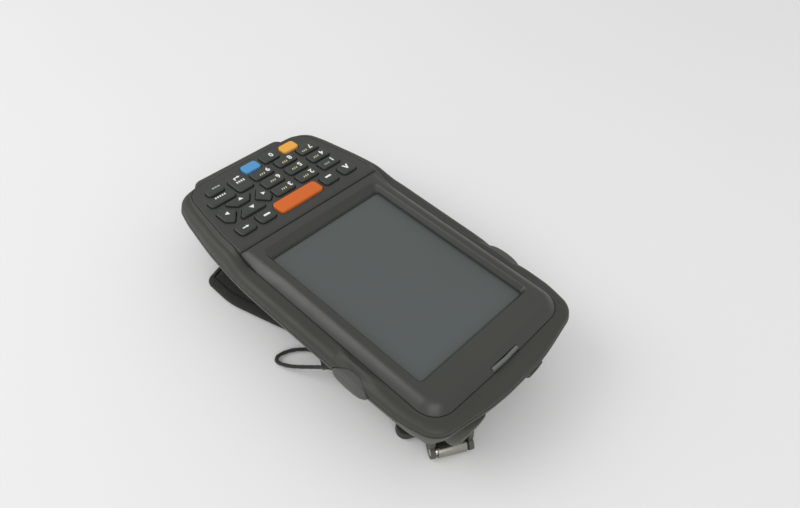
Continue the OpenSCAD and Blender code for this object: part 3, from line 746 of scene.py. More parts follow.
def rear_outer():
    R = [ring_b(10.8, -BACK + 0.0)]
    R[0] = ring_b(11.6, -BACK)
    R.append(ring_b(10.9, -BACK + 0.04))
    R.append(ring_b(10.3, -BACK + 0.22))
    R.append(ring_b(9.75, -BACK + 0.55))
    R.append(ring_b(9.25, -BACK + 1.0))
    R.append(ring_b(8.3, -22.1))
    for d, z in ((7.1, -20), (6.15, -18), (5.2, -16), (4.3, -14), (3.4, -12), (2.5, -10.2), (1.75, -8.6), (1.2, -7.4)):
        R.append(ring_b(d, z))
    R.append(ring_b(0.85, lambda y: np.minimum(-6.5, rim_z(y) - 1.6)))
    R.append(ring_b(0.55, lambda y: rim_z(y) - 1.32))
    R.append(ring_b(0.28, lambda y: rim_z(y) - 1.18))
    R.append(ring_b(0.12, lambda y: rim_z(y) - 1.0))
    R.append(ring_b(0.06, lambda y: rim_z(y) - 0.8))
    R.append(ring_b(0.08, lambda y: rim_z(y) - 0.52))
    R.append(ring_b(0.2, lambda y: rim_z(y) - 0.38))
    R.append(ring_b(0.45, lambda y: rim_z(y) - 0.32))
    # over the wall and down inside
    R.append(ring_b(1.9, lambda y: rim_z(y) - 0.32))
    R.append(ring_b(2.4, lambda y: rim_z(y) - 0.8))
    for d, z in ((2.9, -6.9), (5.6, -12), (9.3, -19.4)):
        R.append(ring_b(d, z, 2.0))
    R.append(ring_b(12.6, -BACK + 2, 2.0))
    return R


def at_strap(p):
    """Strap hardware frame: turned -30 degrees about the anchor at the scan end."""
    p = np.asarray(p, float)
    c, s = math.cos(math.radians(-30)), math.sin(math.radians(-30))
    return np.stack([23.7 + p[..., 0] * c - p[..., 1] * s, 51.2 + p[..., 0] * s + p[..., 1] * c, p[..., 2]], -1)


def moved(data, fn):
    return fn(data[0]), data[1]


def body_solid():
    """Closed outer body, used to trim the posts."""
    return loft_data([ring_b(d + 0.06, z) for d, z in ((10.8, -BACK + 0.06), (9.3, -BACK + 1.0), (7.1, -20), (5.2, -16), (3.4, -12), (1.2, -7.4))] + [ring_b(1.2, -6.0)])


BOSS = [(32.2, 43), (-32.2, 43), (29.5, -74.5), (-29.5, -74.5)]
PIN_Y = -81
ANCHOR_Z = -27.3

rear = loft("rear_housing_shell", rear_outer(), M["rear"], angle=40)
inner_add = [box_data(-24.2, -67.5, -23.0, 48.4, 63, BACK - 13.2 - 1.2)]
inner_add.append(box_data(-13, -84.0, -23.6, 26, 7.6, 7.2))
inner_add.append(cyl_data((26, -47, -13.8), (0, 1, 0), 3.9, 97, 48))
posts = finish_mesh("posts", *merged([cyl_data((bx, by, -24.1), (0, 0, 1), 3.6, 15.4, 40) for bx, by in BOSS]), None)
boolean(posts, [body_solid()], "INTERSECT")
post_v = np.array([v.co for v in posts.data.vertices]) / MM - [0, DY, GH]
post_f = [tuple(p.vertices) for p in posts.data.polygons]
bpy.data.objects.remove(posts)
inner_add.append((post_v, post_f))
boolean(rear, inner_add, "UNION")


def silo_block():
    """Rounded bulge that holds the mouth of the stylus silo."""
    P = rect(15.4, 11.4, 5.2, 0, 0, 12)
    rings = []
    for yy, g in ((48.0, 0.0), (54.3, 0.0), (54.95, 0.1), (55.5, 0.38), (55.88, 0.82), (56.0, 1.35)):
        Q = P - normals2(P) * g
        slope = 0.45 * (Q[:, 1] + 2.0) * min(1.0, (yy - 48) / 6)
        fall = 1.5 * np.clip((-Q[:, 0] - 1.5) / 6.2, 0, 1) ** 1.5 + 1.2 * np.clip((Q[:, 0] - 4.0) / 3.7, 0, 1) ** 1.5
        rings.append(np.column_stack([22.4 + Q[:, 0], np.minimum(yy + slope, 57.6) - fall * min(1.0, (yy - 48) / 6), -11.8 + Q[:, 1]]))
    v, f = loft_data(rings)
    return v, f


ears = []
for s in (-1, 1):
    t = np.linspace(math.pi / 2, 3 * math.pi / 2, 20)[::-1]
    # ear outline in (y, z) of the strap frame: a rounded end round the pin, running up into the back
    prof = [(-6.8, ANCHOR_Z + 6.5), (-6.8, ANCHOR_Z + 0.6), (-6.2, ANCHOR_Z), (-2.3 * 0.2 - 1.2, ANCHOR_Z - 2.0)]
    a = np.linspace(-math.pi * 0.62, math.pi * 0.5, 22)
    prof += [(2.3 * math.cos(q), ANCHOR_Z + 2.3 * math.sin(q)) for q in a]
    prof += [(-0.2, ANCHOR_Z + 5.2), (-0.6, ANCHOR_Z + 6.5)]
    Q = np.array(prof)
    rings = [np.column_stack([np.full(len(Q), s * 6.9 + e), Q]) for e in (-0.85, 0.85)]
    v, f = loft_data(rings)
    ears.append((at_strap(v), f))
boolean(rear, [silo_block()] + ears, "UNION")

cuts = [
    box_data(-21.7, -66, -30, 43.4, 60, 15.4),
    box_data(-24.8, -79.4, -30, 49.6, 76.6, 31.4 - BACK),
    box_data(-5.3, -3.2, -30, 10.6, 7.5, 31.4 - BACK),
    box_data(-11, -84.6, -30, 22, 7.2, 11.6),
    cyl_data((26, -46, -13.8), (0, 1, 0), 2.48, 110, 48),
    box_data(-14.2, 52, -9, 9.8, 10, 3.4),
    box_data(-17.2, -97, -14.6, 34.4, 12, 9.2),
    box_data(29.2, -1.5, -23, 12, 7, 5),
]


def scan_frame(p):
    p = np.asarray(p, float)
    c, s = math.cos(math.radians(-24.8)), math.sin(math.radians(-24.8))
    return np.stack([p[..., 0], 52.3 + p[..., 1] * c - p[..., 2] * s, -15.5 + p[..., 1] * s + p[..., 2] * c], -1)


def mouth():
    """Scan opening: flares outwards from the window."""
    rings = []
    for yy, w, h, r in ((-10, 24, 8, 1.2), (-0.62, 24, 8, 1.2), (-0.6, 26.4, 10.4, 1.5), (1.4, 26.4, 10.4, 1.5), (3.2, 27.4, 11.2, 1.9), (9.4, 31.5, 14.4, 3.0)):
        Q = rect(w, h, r, 0, 0, 6)
        rings.append(np.column_stack([Q[:, 0], np.full(len(Q), yy), Q[:, 1]]))
    v, f = loft_data(rings)
    return scan_frame(v), f


cuts.append(mouth())
for bx, by in BOSS:
    cuts.append(cyl_data((bx, by, -30), (0, 0, 1), 2.3, 18, 36))
for i in range(-2, 3):
    cuts.append(prism(rect(10, 1.0, 0.48, 0, 14 + i * 2.4, 5), -30, -18))
for s in (1, -1):
    cuts.append(lens_solid(s, [(33.5, 0.32), (50, 0.32)]))
cuts.append(moved(cyl_data((-8, 0, ANCHOR_Z), (1, 0, 0), 1.45, 16, 36), at_strap))
boolean(rear, cuts)
resmooth(rear, 40)
piece(rear, "housing", "case_plastic", "rear_housing")


# ---------------------------------------------------------------- display bezel
def opening(dx, dt, db, r=1.2):
    x = 27.25 + dx
    return mir([(x, -36.65 - db, r, 5), (x, 36.65 + dt, r, 20), (10, 36.66 + dt, 60, 6)])


def bezel_rings():
    R = []
    roll = [(1.2, -1.4), (0.15, -1.4), (0.0, -1.25), (0.0, -0.6)]
    for d in (0.0, 0.05, 0.13, 0.26, 0.44, 0.68, 0.98, 1.34, 1.76, 2.24, 2.8, 3.4, 4.0, 4.6):
        roll.append((d, 3.0 - 3.2 * (1 - d / 4.6) ** 1.8))
    for d, z in roll:
        P = outline(BEZEL, d, 10)
        t = P[:, 1] + 44.45
        P[:, 1] = -44.45 + t * (0.3 + 0.7 * ease(t / 12.0))
        # the edge beside the keypad is only eased, not rolled
        soft = ease((P[:, 1] + 43.4) / 6.5)
        flat = 3.0 - 0.3 * max(0.0, 1 - d / 0.7) ** 2 if z > -0.3 else z
        R.append(up(P, z * soft + max(z, flat) * (1 - soft) if z > -0.3 else z))
    tops = ((1.75, 1.9, 3.8, 3.0), (1.6, 1.72, 3.6, 2.98), (1.46, 1.56, 3.4, 2.88), (1.32, 1.42, 3.22, 2.72))
    for dx, dt, db, z in tops:
        R.append(up(outline(opening(dx, dt, db, 2.0), 0, 10), z))
    for t in (0.25, 0.5, 0.75, 1.0):
        R.append(up(outline(opening(1.32 * (1 - t) + 0.12 * t, 1.42 * (1 - t) + 0.12 * t, 3.22 * (1 - t) + 0.5 * t, 2.0 - 0.7 * t), 0, 10), 2.72 * (1 - t) + 0.95 * t))
    R.append(up(outline(opening(0.08, 0.08, 0.42, 1.25), 0, 10), 0.72))
    R.append(up(outline(opening(0.04, 0.04, 0.04, 1.2), 0, 10), 0.62))
    R.append(up(outline(opening(0.0, 0.0, 0.0, 1.2), 0, 10), 0.5))
    R.append(up(outline(opening(0.6, 0.6, 0.6, 1.2), 0, 10), 0.5))
    R.append(up(outline(opening(0.6, 0.6, 0.6, 1.2), 0, 10), -1.4))
    return R


bezel = loft("display_bezel_frame", bezel_rings(), M["bezel"], closed=True, angle=40)
boolean(bezel, [box_data(-6.85, 49.3, -3, 13.7, 6, 9)])
resmooth(bezel, 36)
piece(bezel, "housing", "bezel_plastic", "display_bezel")


# light guide at the scan end of the bezel
def pipe_rings():
    R = []
    for z, g in ((-1.5, 0.0), (1.2, 0.0), (1.42, 0.06), (1.56, 0.18), (1.62, 0.34)):
        P = rect(13.4 - 2 * g, 1.3 - 2 * g, 0.28, 0, 50.05, 5)
        P[:, 1] += 0.25 - 0.006 * P[:, 0] ** 2
        R.append(up(P, z))
    return R


pipe = loft("light_guide_bar", pipe_rings(), M["pipe"], angle=40)
piece(pipe, "housing", "light_pipe_plastic", "light_pipe")


# ---------------------------------------------------------------- keypad
KEYS = {}
NAMES = ["key_scan", "key_clear", "key_minus_left", "key_minus_right", "key_back", "key_1", "key_2", "key_3", "key_4", "key_5", "key_6", "key_7", "key_8", "key_9",
         "key_0", "key_orange", "key_blue", "key_enter", "key_wide", "key_small"]
TABLE = [(0, -53.06, 21.7, 7, 1.8), (-25.95, -53.06, 7.5, 6, 1.6), (-16.27, -53.06, 7.5, 6, 1.6), (16.29, -53.06, 7.5, 6, 1.6), (25.85, -53.06, 7.5, 6, 1.6)]
for yy in (-61.06, -67.66, -74.56):
    for xx in (-23.4, -11.33, 0.98):
        TABLE.append((xx, yy, 9.5, 5.5, 1.3))
TABLE += [(-8, -80.86, 8, 5.5, 1.3), (-18.4, -80.86, 8, 5.5, 1.5), (1.6, -80.86, 8, 5.5, 1.5), (11.1, -75.25, 7.4, 9.5, 1.6), (22.25, -72.4, 11.9, 4.2, 1.5), (21.15, -78.4, 7.7, 4, 1.5)]
for nm, (x, y, w, l, r) in zip(NAMES, TABLE):
    KEYS[nm] = [(x + w / 2, y - l / 2, r, 7), (x + w / 2, y + l / 2, r, 7), (x - w / 2, y + l / 2, r, 7), (x - w / 2, y - l / 2, r, 7)]
KEYS["key_up"] = [(20.3, -62.5, 1, 5), (24.6, -57.6, 1, 5), (11, -57.6, 1, 5), (14.9, -62.5, 1, 5)]
KEYS["key_down"] = [(10.9, -69.3, 1, 5), (24.6, -69.3, 1, 5), (20.4, -64.5, 1, 5), (14.9, -64.5, 1, 5)]
KEYS["key_left"] = [(8.6, -68.6, 0.8, 5), (13.1, -63.5, 0.8, 5), (9, -58.7, 0.8, 5), (6.6, -60.8, 1, 5), (6.6, -66.2, 1, 5)]
KEYS["key_right"] = [(26.6, -68.6, 0.8, 5), (29.4, -66.6, 1, 5), (29.4, -60.8, 1, 5), (26.6, -58.1, 0.8, 5), (22, -63.4, 0.8, 5)]


def key_plate():
    """Keypad plate: rounded rim, rolled down beside the display, with a softly broken edge round every key hole."""
    R = []
    for d, z in ((0.2, 0.25), (0.0, 0.45), (0.0, 2.6), (0.04, 2.85), (0.14, 3.05), (0.3, 3.2), (0.5, 3.28), (0.75, 3.3), (1.4, 3.3), (2.6, 3.3)):
        P = outline(KEYPAD, d, 6)
        drop = 0.3 * np.clip((P[:, 1] + 47.2) / 2.6, 0, 1) ** 1.8
        R.append(up(P, z - (drop if z > 2.5 else 0.0)))
    v, f = loft_data(R)
    o = finish_mesh("keypad_plate", key_plane(v), f, M["plate"], 40)
    holes = []
    for k in KEYS:
        H = [up(outline(KEYS[k], g, 3), z) for g, z in ((-0.14, -1.0), (-0.14, 3.02), (-0.15, 3.12), (-0.18, 3.21), (-0.22, 3.27), (-0.27, 3.3), (-0.31, 3.31), (-0.31, 3.6))]
        hv, hf = loft_data(H)
        holes.append((key_plane(hv), hf))
    boolean(o, [merged(holes)])
    resmooth(o, 40)
    return o


plate = key_plate()
piece(plate, "housing", "case_plastic", "keypad_bezel")

KEY_TOP = 3.3 + 0.97


def keycap(name):
    V = KEYS[name]
    P0 = outline(V, 0, 3)
    cx, cy = (P0.max(0) + P0.min(0)) / 2
    half = (P0.max(0) - P0.min(0)) / 2

    def crown(P):
        q = ((P[:, 0] - cx) / half[0]) ** 2 * 0.5 + ((P[:, 1] - cy) / half[1]) ** 2 * 0.5
        return 0.10 * (1 - q)

    R = [up(outline(V, -0.28, 3), 0.5), up(outline(V, -0.28, 3), 1.08), up(outline(V, 0.0, 3), 1.1), up(outline(V, 0.0, 3), 2.2)]
    top = KEY_TOP - 0.10
    r = 0.5
    R.append(up(outline(V, 0.10, 3), top - r))
    for j in range(1, 6):
        a = math.pi / 2 * j / 5
        P = outline(V, 0.10 + r * (1 - math.cos(a)), 3)
        R.append(up(P, top - r + r * math.sin(a) + crown(P) * (j / 5) ** 2))
    for d in (0.85, 1.2, 1.6):
        P = outline(V, d, 3)
        R.append(up(P, top + crown(P)))
    v, f = loft_data(R, caps=(True, False))
    n = len(R[0])
    base = len(v) - n
    P = R[-1]
    c = P.mean(0)
    c[2] = top + crown(np.array([[c[0], c[1]]]))[0]
    mid = (P + c) / 2
    mid[:, 2] = top + crown(mid[:, :2])
    v = np.concatenate([v, mid, [c]])
    k = len(v) - 1
    for i in range(n):
        q = (i + 1) % n
        f.append((base + i, base + q, base + n + q, base + n + i))
        f.append((base + n + i, base + n + q, k))
    return v, f


mats = {"key_scan": ("orange", "key_orange_plastic"), "key_orange": ("amber", "key_amber_plastic"), "key_blue": ("blue", "key_blue_plastic")}
caps = {}
for nm in KEYS:
    v, f = keycap(nm)
    mk, sl = mats.get(nm, ("key", "key_rubber"))
    caps[nm] = finish_mesh(nm + "_cap", key_plane(v), f, M[mk], 50)
    piece(caps[nm], nm, sl, nm)


# legends: plain digits, arrows and tick marks
def stroke(a, b, w):
    a, b = np.array(a, float), np.array(b, float)
    t = (b - a) / np.linalg.norm(b - a)
    n = np.array([-t[1], t[0]]) * w / 2
    return np.array([a + n * -1, b + n * -1, b + n, a + n])


def poly_data(P, z0, z1):
    P = np.asarray(P, float)
    area = 0.5 * np.sum(P[:, 0] * np.roll(P[:, 1], -1) - np.roll(P[:, 0], -1) * P[:, 1])
    if area < 0:
        P = P[::-1]
    return prism(P, z0, z1)


def digit_mesh(txt, x, y, h, bold):
    cu = bpy.data.curves.new("digit", "FONT")
    cu.body = txt
    cu.size = 1.0
    cu.align_x = "CENTER"
    cu.align_y = "CENTER"
    cu.offset = bold
    cu.extrude = 0.02
    cu.resolution_u = 4
    tmp = bpy.data.objects.new("digit_tmp", cu)
    COLL.objects.link(tmp)
    dg = bpy.context.evaluated_depsgraph_get()
    me = bpy.data.meshes.new_from_object(tmp.evaluated_get(dg), depsgraph=dg)
    co = np.array([v.co for v in me.vertices])
    faces = [tuple(p.vertices) for p in me.polygons]
    bpy.data.objects.remove(tmp)
    bpy.data.curves.remove(cu)
    bpy.data.meshes.remove(me)
    lo, hi = co.min(0), co.max(0)
    s = h / (hi[1] - lo[1])
    co[:, 0] = (co[:, 0] - (lo[0] + hi[0]) / 2) * s + x
    co[:, 1] = (co[:, 1] - (lo[1] + hi[1]) / 2) * s + y
    zmid = (lo[2] + hi[2]) / 2
    co[:, 2] = np.where(co[:, 2] > zmid, 1.0, 0.0)
    return co, faces


def put_legend(name, parts, key, mat):
    """parts are (verts, faces) in the keypad frame; z 1 is the printed top and z 0 is sunk in the cap."""
    v, f = merged(parts)
    V = KEYS[key]
    P0 = outline(V, 0, 3)
    cx, cy = (P0.max(0) + P0.min(0)) / 2
    half = (P0.max(0) - P0.min(0)) / 2
    q = ((v[:, 0] - cx) / half[0]) ** 2 * 0.5 + ((v[:, 1] - cy) / half[1]) ** 2 * 0.5
    surf = KEY_TOP - 0.10 + 0.10 * (1 - q)
    v = v.copy()
    v[:, 2] = np.where(v[:, 2] > 0.5, surf + 0.022, surf - 0.06)
    o = finish_mesh(name, key_plane(v), f, mat, 30)
    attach(o, key)
    return o


DIG = {"key_1": (-25.5, -61.4), "key_2": (-14.0, -61.15), "key_3": (-2.65, -61.05), "key_4": (-25.5, -67.75), "key_5": (-13.75, -68.1), "key_6": (-2.35, -68.1),
       "key_7": (-24.75, -74.55), "key_8": (-13.75, -74.5), "key_9": (-2.0, -74.5), "key_0": (-9.3, -81.2)}
TICK = {"key_1": (-22.1, -60.5), "key_2": (-10.5, -60.35), "key_3": (0.9, -60.35), "key_4": (-22.0, -67.15), "key_5": (-10.5, -67.35), "key_6": (0.85, -67.2),
        "key_7": (-21.3, -73.65), "key_8": (-10.4, -73.5), "key_9": (1.3, -73.5)}
for nm, (x, y) in DIG.items():
    put_legend(nm + "_digit", [digit_mesh(nm[-1], x, y, 2.55, 0.03)], nm, M["white"])
for nm, (x, y) in TICK.items():
    P = []
    for j in range(3):
        cx = x + (j - 1) * 0.95
        P.append(poly_data(stroke((cx - 0.16, y - 0.5), (cx + 0.16, y + 0.5), 0.42), 0, 1))
    put_legend(nm + "_ticks", P, nm, M["yellow"] if nm != "key_1" else M["grey"])


def tri(cx, cy, w, h, direction):
    P = {"up": [(-w / 2, -h / 2), (w / 2, -h / 2), (0, h / 2)], "down": [(-w / 2, h / 2), (w / 2, h / 2), (0, -h / 2)],
         "left": [(h / 2, -w / 2), (h / 2, w / 2), (-h / 2, 0)], "right": [(-h / 2, -w / 2), (-h / 2, w / 2), (h / 2, 0)]}[direction]
    return poly_data(np.array(P) + [cx, cy], 0, 1)


put_legend("key_up_arrow", [tri(16.75, -60.25, 2.3, 1.7, "up")], "key_up", M["white"])
put_legend("key_down_arrow", [tri(17.2, -67.5, 2.1, 1.6, "down")], "key_down", M["white"])
put_legend("key_left_arrow", [tri(8.55, -63.9, 1.9, 1.6, "left")], "key_left", M["white"])
put_legend("key_right_arrow", [tri(26.3, -63.75, 2.0, 1.7, "right")], "key_right", M["white"])
put_legend("key_minus_left_bar", [poly_data(rect(2.9, 0.95, 0.2, -16.65, -53.9, 3), 0, 1)], "key_minus_left", M["white"])
put_legend("key_minus_right_bar", [poly_data(rect(2.9, 0.95, 0.2, 15.6, -53.0, 3), 0, 1)], "key_minus_right", M["white"])
put_legend("key_back_arrow", [tri(24.75, -52.95, 1.5, 1.1, "left"), poly_data(rect(1.9, 0.55, 0.1, 26.1, -52.95, 2), 0, 1)], "key_back", M["white"])
put_legend("key_clear_mark", [poly_data([(-27.7, -54.9), (-26.9, -54.9), (-26.3, -53.6), (-25.7, -54.9), (-24.9, -54.9), (-25.9, -52.2), (-26.5, -52.2)], 0, 1)], "key_clear", M["white"])
put_legend("key_enter_arrow", [tri(9.25, -78.95, 1.5, 1.2, "left"), poly_data(rect(2.0, 0.55, 0.1, 10.7, -78.95, 2), 0, 1),
                               poly_data(rect(0.55, 1.7, 0.1, 11.55, -78.3, 2), 0, 1)], "key_enter", M["white"])
put_legend("key_enter_ticks", [poly_data(rect(0.62, 1.15, 0.12, 8.85 + j * 1.05, -75.95, 2), 0, 1) for j in range(4)], "key_enter", M["white"])
put_legend("key_wide_ticks", [poly_data(stroke((19.45 + j * 1.05, -74.0 - 0.42), (19.75 + j * 1.05, -74.0 + 0.42), 0.6), 0, 1) for j in range(5)], "key_wide", M["white"])
put_legend("key_small_bar", [poly_data(rect(1.0, 0.8, 0.15, 18.4 + j * 1.25, -80.1 + 0.45, 2), 0, 1) for j in range(3)], "key_small", M["grey"])


# ---------------------------------------------------------------- connector boot
def boot():
    V = [(22.8, -93.5, 4.5, 14), (22.8, -85.4, 1, 3), (-22.8, -85.4, 1, 3), (-22.8, -93.5, 4.5, 14)]
    R = []
    for d, z in ((1.4, -16.5), (0.75, -16.42), (0.3, -16.1), (0.05, -15.6), (0.0, -15.0), (0.0, -10.0), (0.0, -4.4), (0.06, -3.85), (0.24, -3.35), (0.52, -2.96), (0.92, -2.7), (1.5, -2.6)):
        R.append(up(outline(V, d, 8), z))
    o = loft("connector_boot_cover", R, M["boot"], angle=40)
    shell = loft_data([ring_b(10.7, -BACK), ring_b(9.1, -BACK + 1), ring_b(7.0, -20), ring_b(3.3, -12), ring_b(0.75, lambda y: np.minimum(-6.45, rim_z(y) - 1.6)),
                       ring_b(-0.03, lambda y: rim_z(y) - 0.9), ring_b(-0.06, lambda y: rim_z(y)), ring_b(-0.06, lambda y: rim_z(y) * 0 - 1.0)])
    hole = prism(rect(27.2, 5.2, 0.9, 0, 0, 5), 0, 20)
    hv = hole[0].copy()
    hv = np.column_stack([hv[:, 0], -100 + hv[:, 2], -10 + hv[:, 1]])
    lead = loft_data([np.column_stack([Q[:, 0], np.full(len(Q), yy), -10 + Q[:, 1]]) for Q, yy in
                      ((rect(29.6, 7.6, 1.8, 0, 0, 5), -96), (rect(28.2, 6.2, 1.2, 0, 0, 5), -92.9), (rect(27.2, 5.2, 0.9, 0, 0, 5), -92.1), (rect(27.2, 5.2, 0.9, 0, 0, 5), -91.4))])
    boolean(o, [shell, (hv, hole[1]), lead, box_data(-15.1, -91.1, -13.7, 30.2, 8, 7.4)])
    resmooth(o, 40)
    return o


piece(boot(), "housing", "rubber", "connector_boot")


# ---------------------------------------------------------------- stylus
def stylus():
    prof = [(-44, 0.5), (-43.6, 0.8), (-42.5, 1.15), (-39.5, 2.2), (-38.6, 2.36), (-38.0, 2.4), (30, 2.4), (30.2, 2.2), (31.0, 2.15), (31.2, 2.4), (56.3, 2.4), (56.8, 2.34),
            (57.12, 2.15), (57.28, 1.8), (57.3, 1.05), (56.9, 1.0), (55.6, 1.0), (55.6, 0.3)]
    v, f = turned((26, 0, -13.8), (0, 1, 0), prof, 40)
    k = np.clip((v[:, 1] - 48) / 7.0, 0, 1)
    v[:, 1] -= k * (1.45 - 0.45 * (v[:, 2] + 13.8))  # the end face follows the wall
    o = finish_mesh("stylus_barrel", v, f, M["case"], 35)
    return o


piece(stylus(), "stylus", "case_plastic", "stylus")


# ---------------------------------------------------------------- infrared and scan windows
def infrared():
    rings = []
    P = rect(9.4, 2.8, 1.35, 0, 0, 8)
    for yy, g in ((56.0, 0.0), (57.5, 0.0), (57.85, 0.08), (58.15, 0.3), (58.35, 0.65), (58.42, 1.05)):
        Q = P - normals2(P) * g
        rings.append(np.column_stack([-9.3 + Q[:, 0], yy + 0.4 * Q[:, 1] - 0.012 * (Q[:, 0] - 3) ** 2, -7.2 + Q[:, 1]]))
    v, f = loft_data(rings)
    return finish_mesh("infrared_window_lens", v, f, M["ir"], 45)


piece(infrared(), "housing", "window", "infrared_window")
rings = []
for yy, g in ((-0.4, 0.25), (-0.25, 0.06), (-0.1, 0.0), (0.9, 0.0), (1.05, 0.06), (1.2, 0.25)):
    Q = rect(26 - 2 * g, 10 - 2 * g, 1.3, 0, 0, 6)
    rings.append(np.column_stack([Q[:, 0], np.full(len(Q), yy), Q[:, 1]]))
v, f = loft_data(rings)
win = finish_mesh("scan_window_pane", scan_frame(v), f, M["window"], 45)
piece(win, "housing", "window", "scan_window")


# ---------------------------------------------------------------- hand strap
PAD_C, PAD_W, PAD_L, PAD_TURN = (19.6, -72.5), 50.0, 74.0, math.radians(17.5)


def at_pad(p):
    p = np.asarray(p, float)
    c, s = math.cos(PAD_TURN), math.sin(PAD_TURN)
    return np.stack([PAD_C[0] + p[..., 0] * c - p[..., 1] * s, PAD_C[1] + p[..., 0] * s + p[..., 1] * c, p[..., 2]], -1)


def pad():
    """Foam pad: crowned middle, pinched and bound edge, thin at its corners, with slow dents and crease lines."""
    V = mir([(a * PAD_W / 2, y, r, n) for a, y, r, n in ((0.80, 0, 4.2, 16), (0.985, 14.4, 30, 8), (1.0, 36.4, 80, 8), (0.97, PAD_L, 7, 18))])
    prof = [(15.5, -29.97, 0), (12.5, -29.98, 0), (9.0, -29.98, 0), (6.0, -29.97, 0), (4.0, -29.95, 0), (2.6, -29.88, 0), (1.6, -29.75, 0), (0.95, -29.5, 0), (0.5, -29.2, 0), (0.2, -28.85, 0), (0.05, -28.5, 0),
            (0.0, -28.1, 0.1), (0.1, -27.6, 0.3), (0.3, -27.1, 0.5), (0.62, -26.6, 0.7), (1.0, -26.15, 0.85), (1.45, -25.75, 0.95), (1.95, -25.4, 1.0), (2.5, -25.2, 1.0), (3.0, -25.95, 1.0), (3.6, -25.1, 1.0),
            (4.8, -24.9, 1.0), (6.2, -24.8, 1.0), (8.0, -24.72, 1.0), (10.5, -24.66, 1.0), (13.0, -24.62, 1.0), (15.5, -24.6, 0.9)]
    R = []
    for d, z, k in prof:
        P = outline(V, d, 26)
        cx = np.clip((PAD_W / 2 - np.abs(P[:, 0])) / 12, 0, 1)
        cy = np.clip(np.minimum(P[:, 1], PAD_L - P[:, 1]) / 10, 0, 1)
        thin = 1 - (1 - cx) ** 2 * (1 - cy) ** 2 * 0.6
        zz = -30 + (z + 30) * (1 - k + k * thin)
        slow = np.array([noise.noise(Vector((p[0] * 0.09, p[1] * 0.07, 3.1))) for p in P])
        fine = np.array([noise.noise(Vector((p[0] * 0.55, p[1] * 0.4, 7.7))) for p in P])
        # creases fan in from the pinched edge
        fold = np.array([abs(noise.noise(Vector((p[0] * 0.16 + p[1] * 0.21, p[1] * 0.05 - p[0] * 0.11, 1.7)))) for p in P])
        near = math.exp(-((d - 2.6) / 1.9) ** 2)
        zz = zz + k * (0.22 * slow + 0.09 * fine - 0.45 * near * (0.35 - np.minimum(fold, 0.35)))
        Q = P + (normals2(P) * (0.10 * fine * k)[:, None] if 0.05 < d < 4 else 0.0)
        R.append(up(Q, np.clip(zz, -29.99, -24.5)))
    v, f = loft_data(R)
    return at_pad(v), f


v, f = pad()
pad_o = finish_mesh("strap_pad_foam", v, f, M["pad"], 75)
piece(pad_o, "housing", "strap_fabric", "strap_pad")


def band(P, w, th, axis_up=(0, 0, 1.0), fn=None):
    """Flat strap of width w and thickness th along a path, with soft edges."""
    P = np.asarray(P, float)
    T = np.gradient(P, axis=0)
    T /= np.linalg.norm(T, axis=1, keepdims=True)
    rings = []
    a = np.linspace(0, math.pi, 7)
    for p, t in zip(P, T):
        s = np.cross(t, axis_up)
        s /= np.linalg.norm(s)
        n = np.cross(s, t)
        sec = []
        for q in a:
            sec.append(p + s * (w / 2 - th / 2 + math.sin(q) * th / 2) - n * math.cos(q) * th / 2)
        for q in a:
            sec.append(p - s * (w / 2 - th / 2 + math.sin(q) * th / 2) + n * math.cos(q) * th / 2)
        rings.append(np.array(sec))
    v, f = loft_data(rings)
    return (fn(v) if fn else v), f


# the lower web: a bar round the pin and a fan of webbing that runs under the pad's edge
def lower_web():
    parts = []
    n = 26
    rings = []
    for t in np.linspace(0, 1, n):
        if t < 0.62:
            a = math.radians(200 - 290 * (t / 0.62))
            y, z = PIN_Y + 2.15 * math.cos(a), -21.8 + 2.15 * math.sin(a)
            x0, x1 = -9.9, 9.9
            nn = np.array([0, math.cos(a), math.sin(a)])
        else:
            s = (t - 0.62) / 0.38
            y = PIN_Y - 0.0 + 14.5 * s ** 1.2
            z = -23.95 - 3.9 * math.sin(min(1.0, s * 1.6) * math.pi / 2)
            x0, x1 = -9.9 + 12.5 * s ** 1.4, 9.9 + 14.5 * s ** 1.4
            nn = np.array([0, -0.15, -1.0]) / math.hypot(0.15, 1.0)
        sec = []
        for x in np.linspace(x0, x1, 9):
            sec.append(np.array([x, y, z]) + nn * 0.6)
        for x in np.linspace(x1, x0, 9):
            sec.append(np.array([x, y, z]) - nn * 0.6)
        rings.append(np.array(sec))
    return loft_data(rings)


web_parts = [lower_web()]
path = [(0, y, -27.7 + 0.12 * math.sin(y * 0.9)) for y in np.linspace(-30, -15.1, 12)]
web_parts.append(moved(band(path, 25, 1.3), at_strap))
path = [(0, y, z) for y, z in ((-13.8, -27.75), (-11.6, -27.5), (-10.0, -27.7), (-7.8, -27.9), (-5.4, -27.9), (-3.6, -27.75))]
web_parts.append(moved(band(catmull(path, 3), 9.8, 1.3), at_strap))
v, f = merged(web_parts)
web = finish_mesh("strap_web_band", v, f, M["web"], 50)
piece(web, "housing", "webbing", "strap_webbing")


def slider():
    o = None
    P = rect(32.6, 7.2, 3.4, 0, -11.2, 14)
    v, f = prism(P, -29.5, -26.5, at_strap, 0.7, 4)
    o = finish_mesh("strap_slider_bar", v, f, M["rubber"], 45)
    boolean(o, [prism(rect(25.6, 2.0, 0.6, 0, yy + 1.0, 5), -31, -25, at_strap) for yy in (-13.7, -10.7)])
    resmooth(o, 40)
    return o


piece(slider(), "housing", "component", "strap_slider")


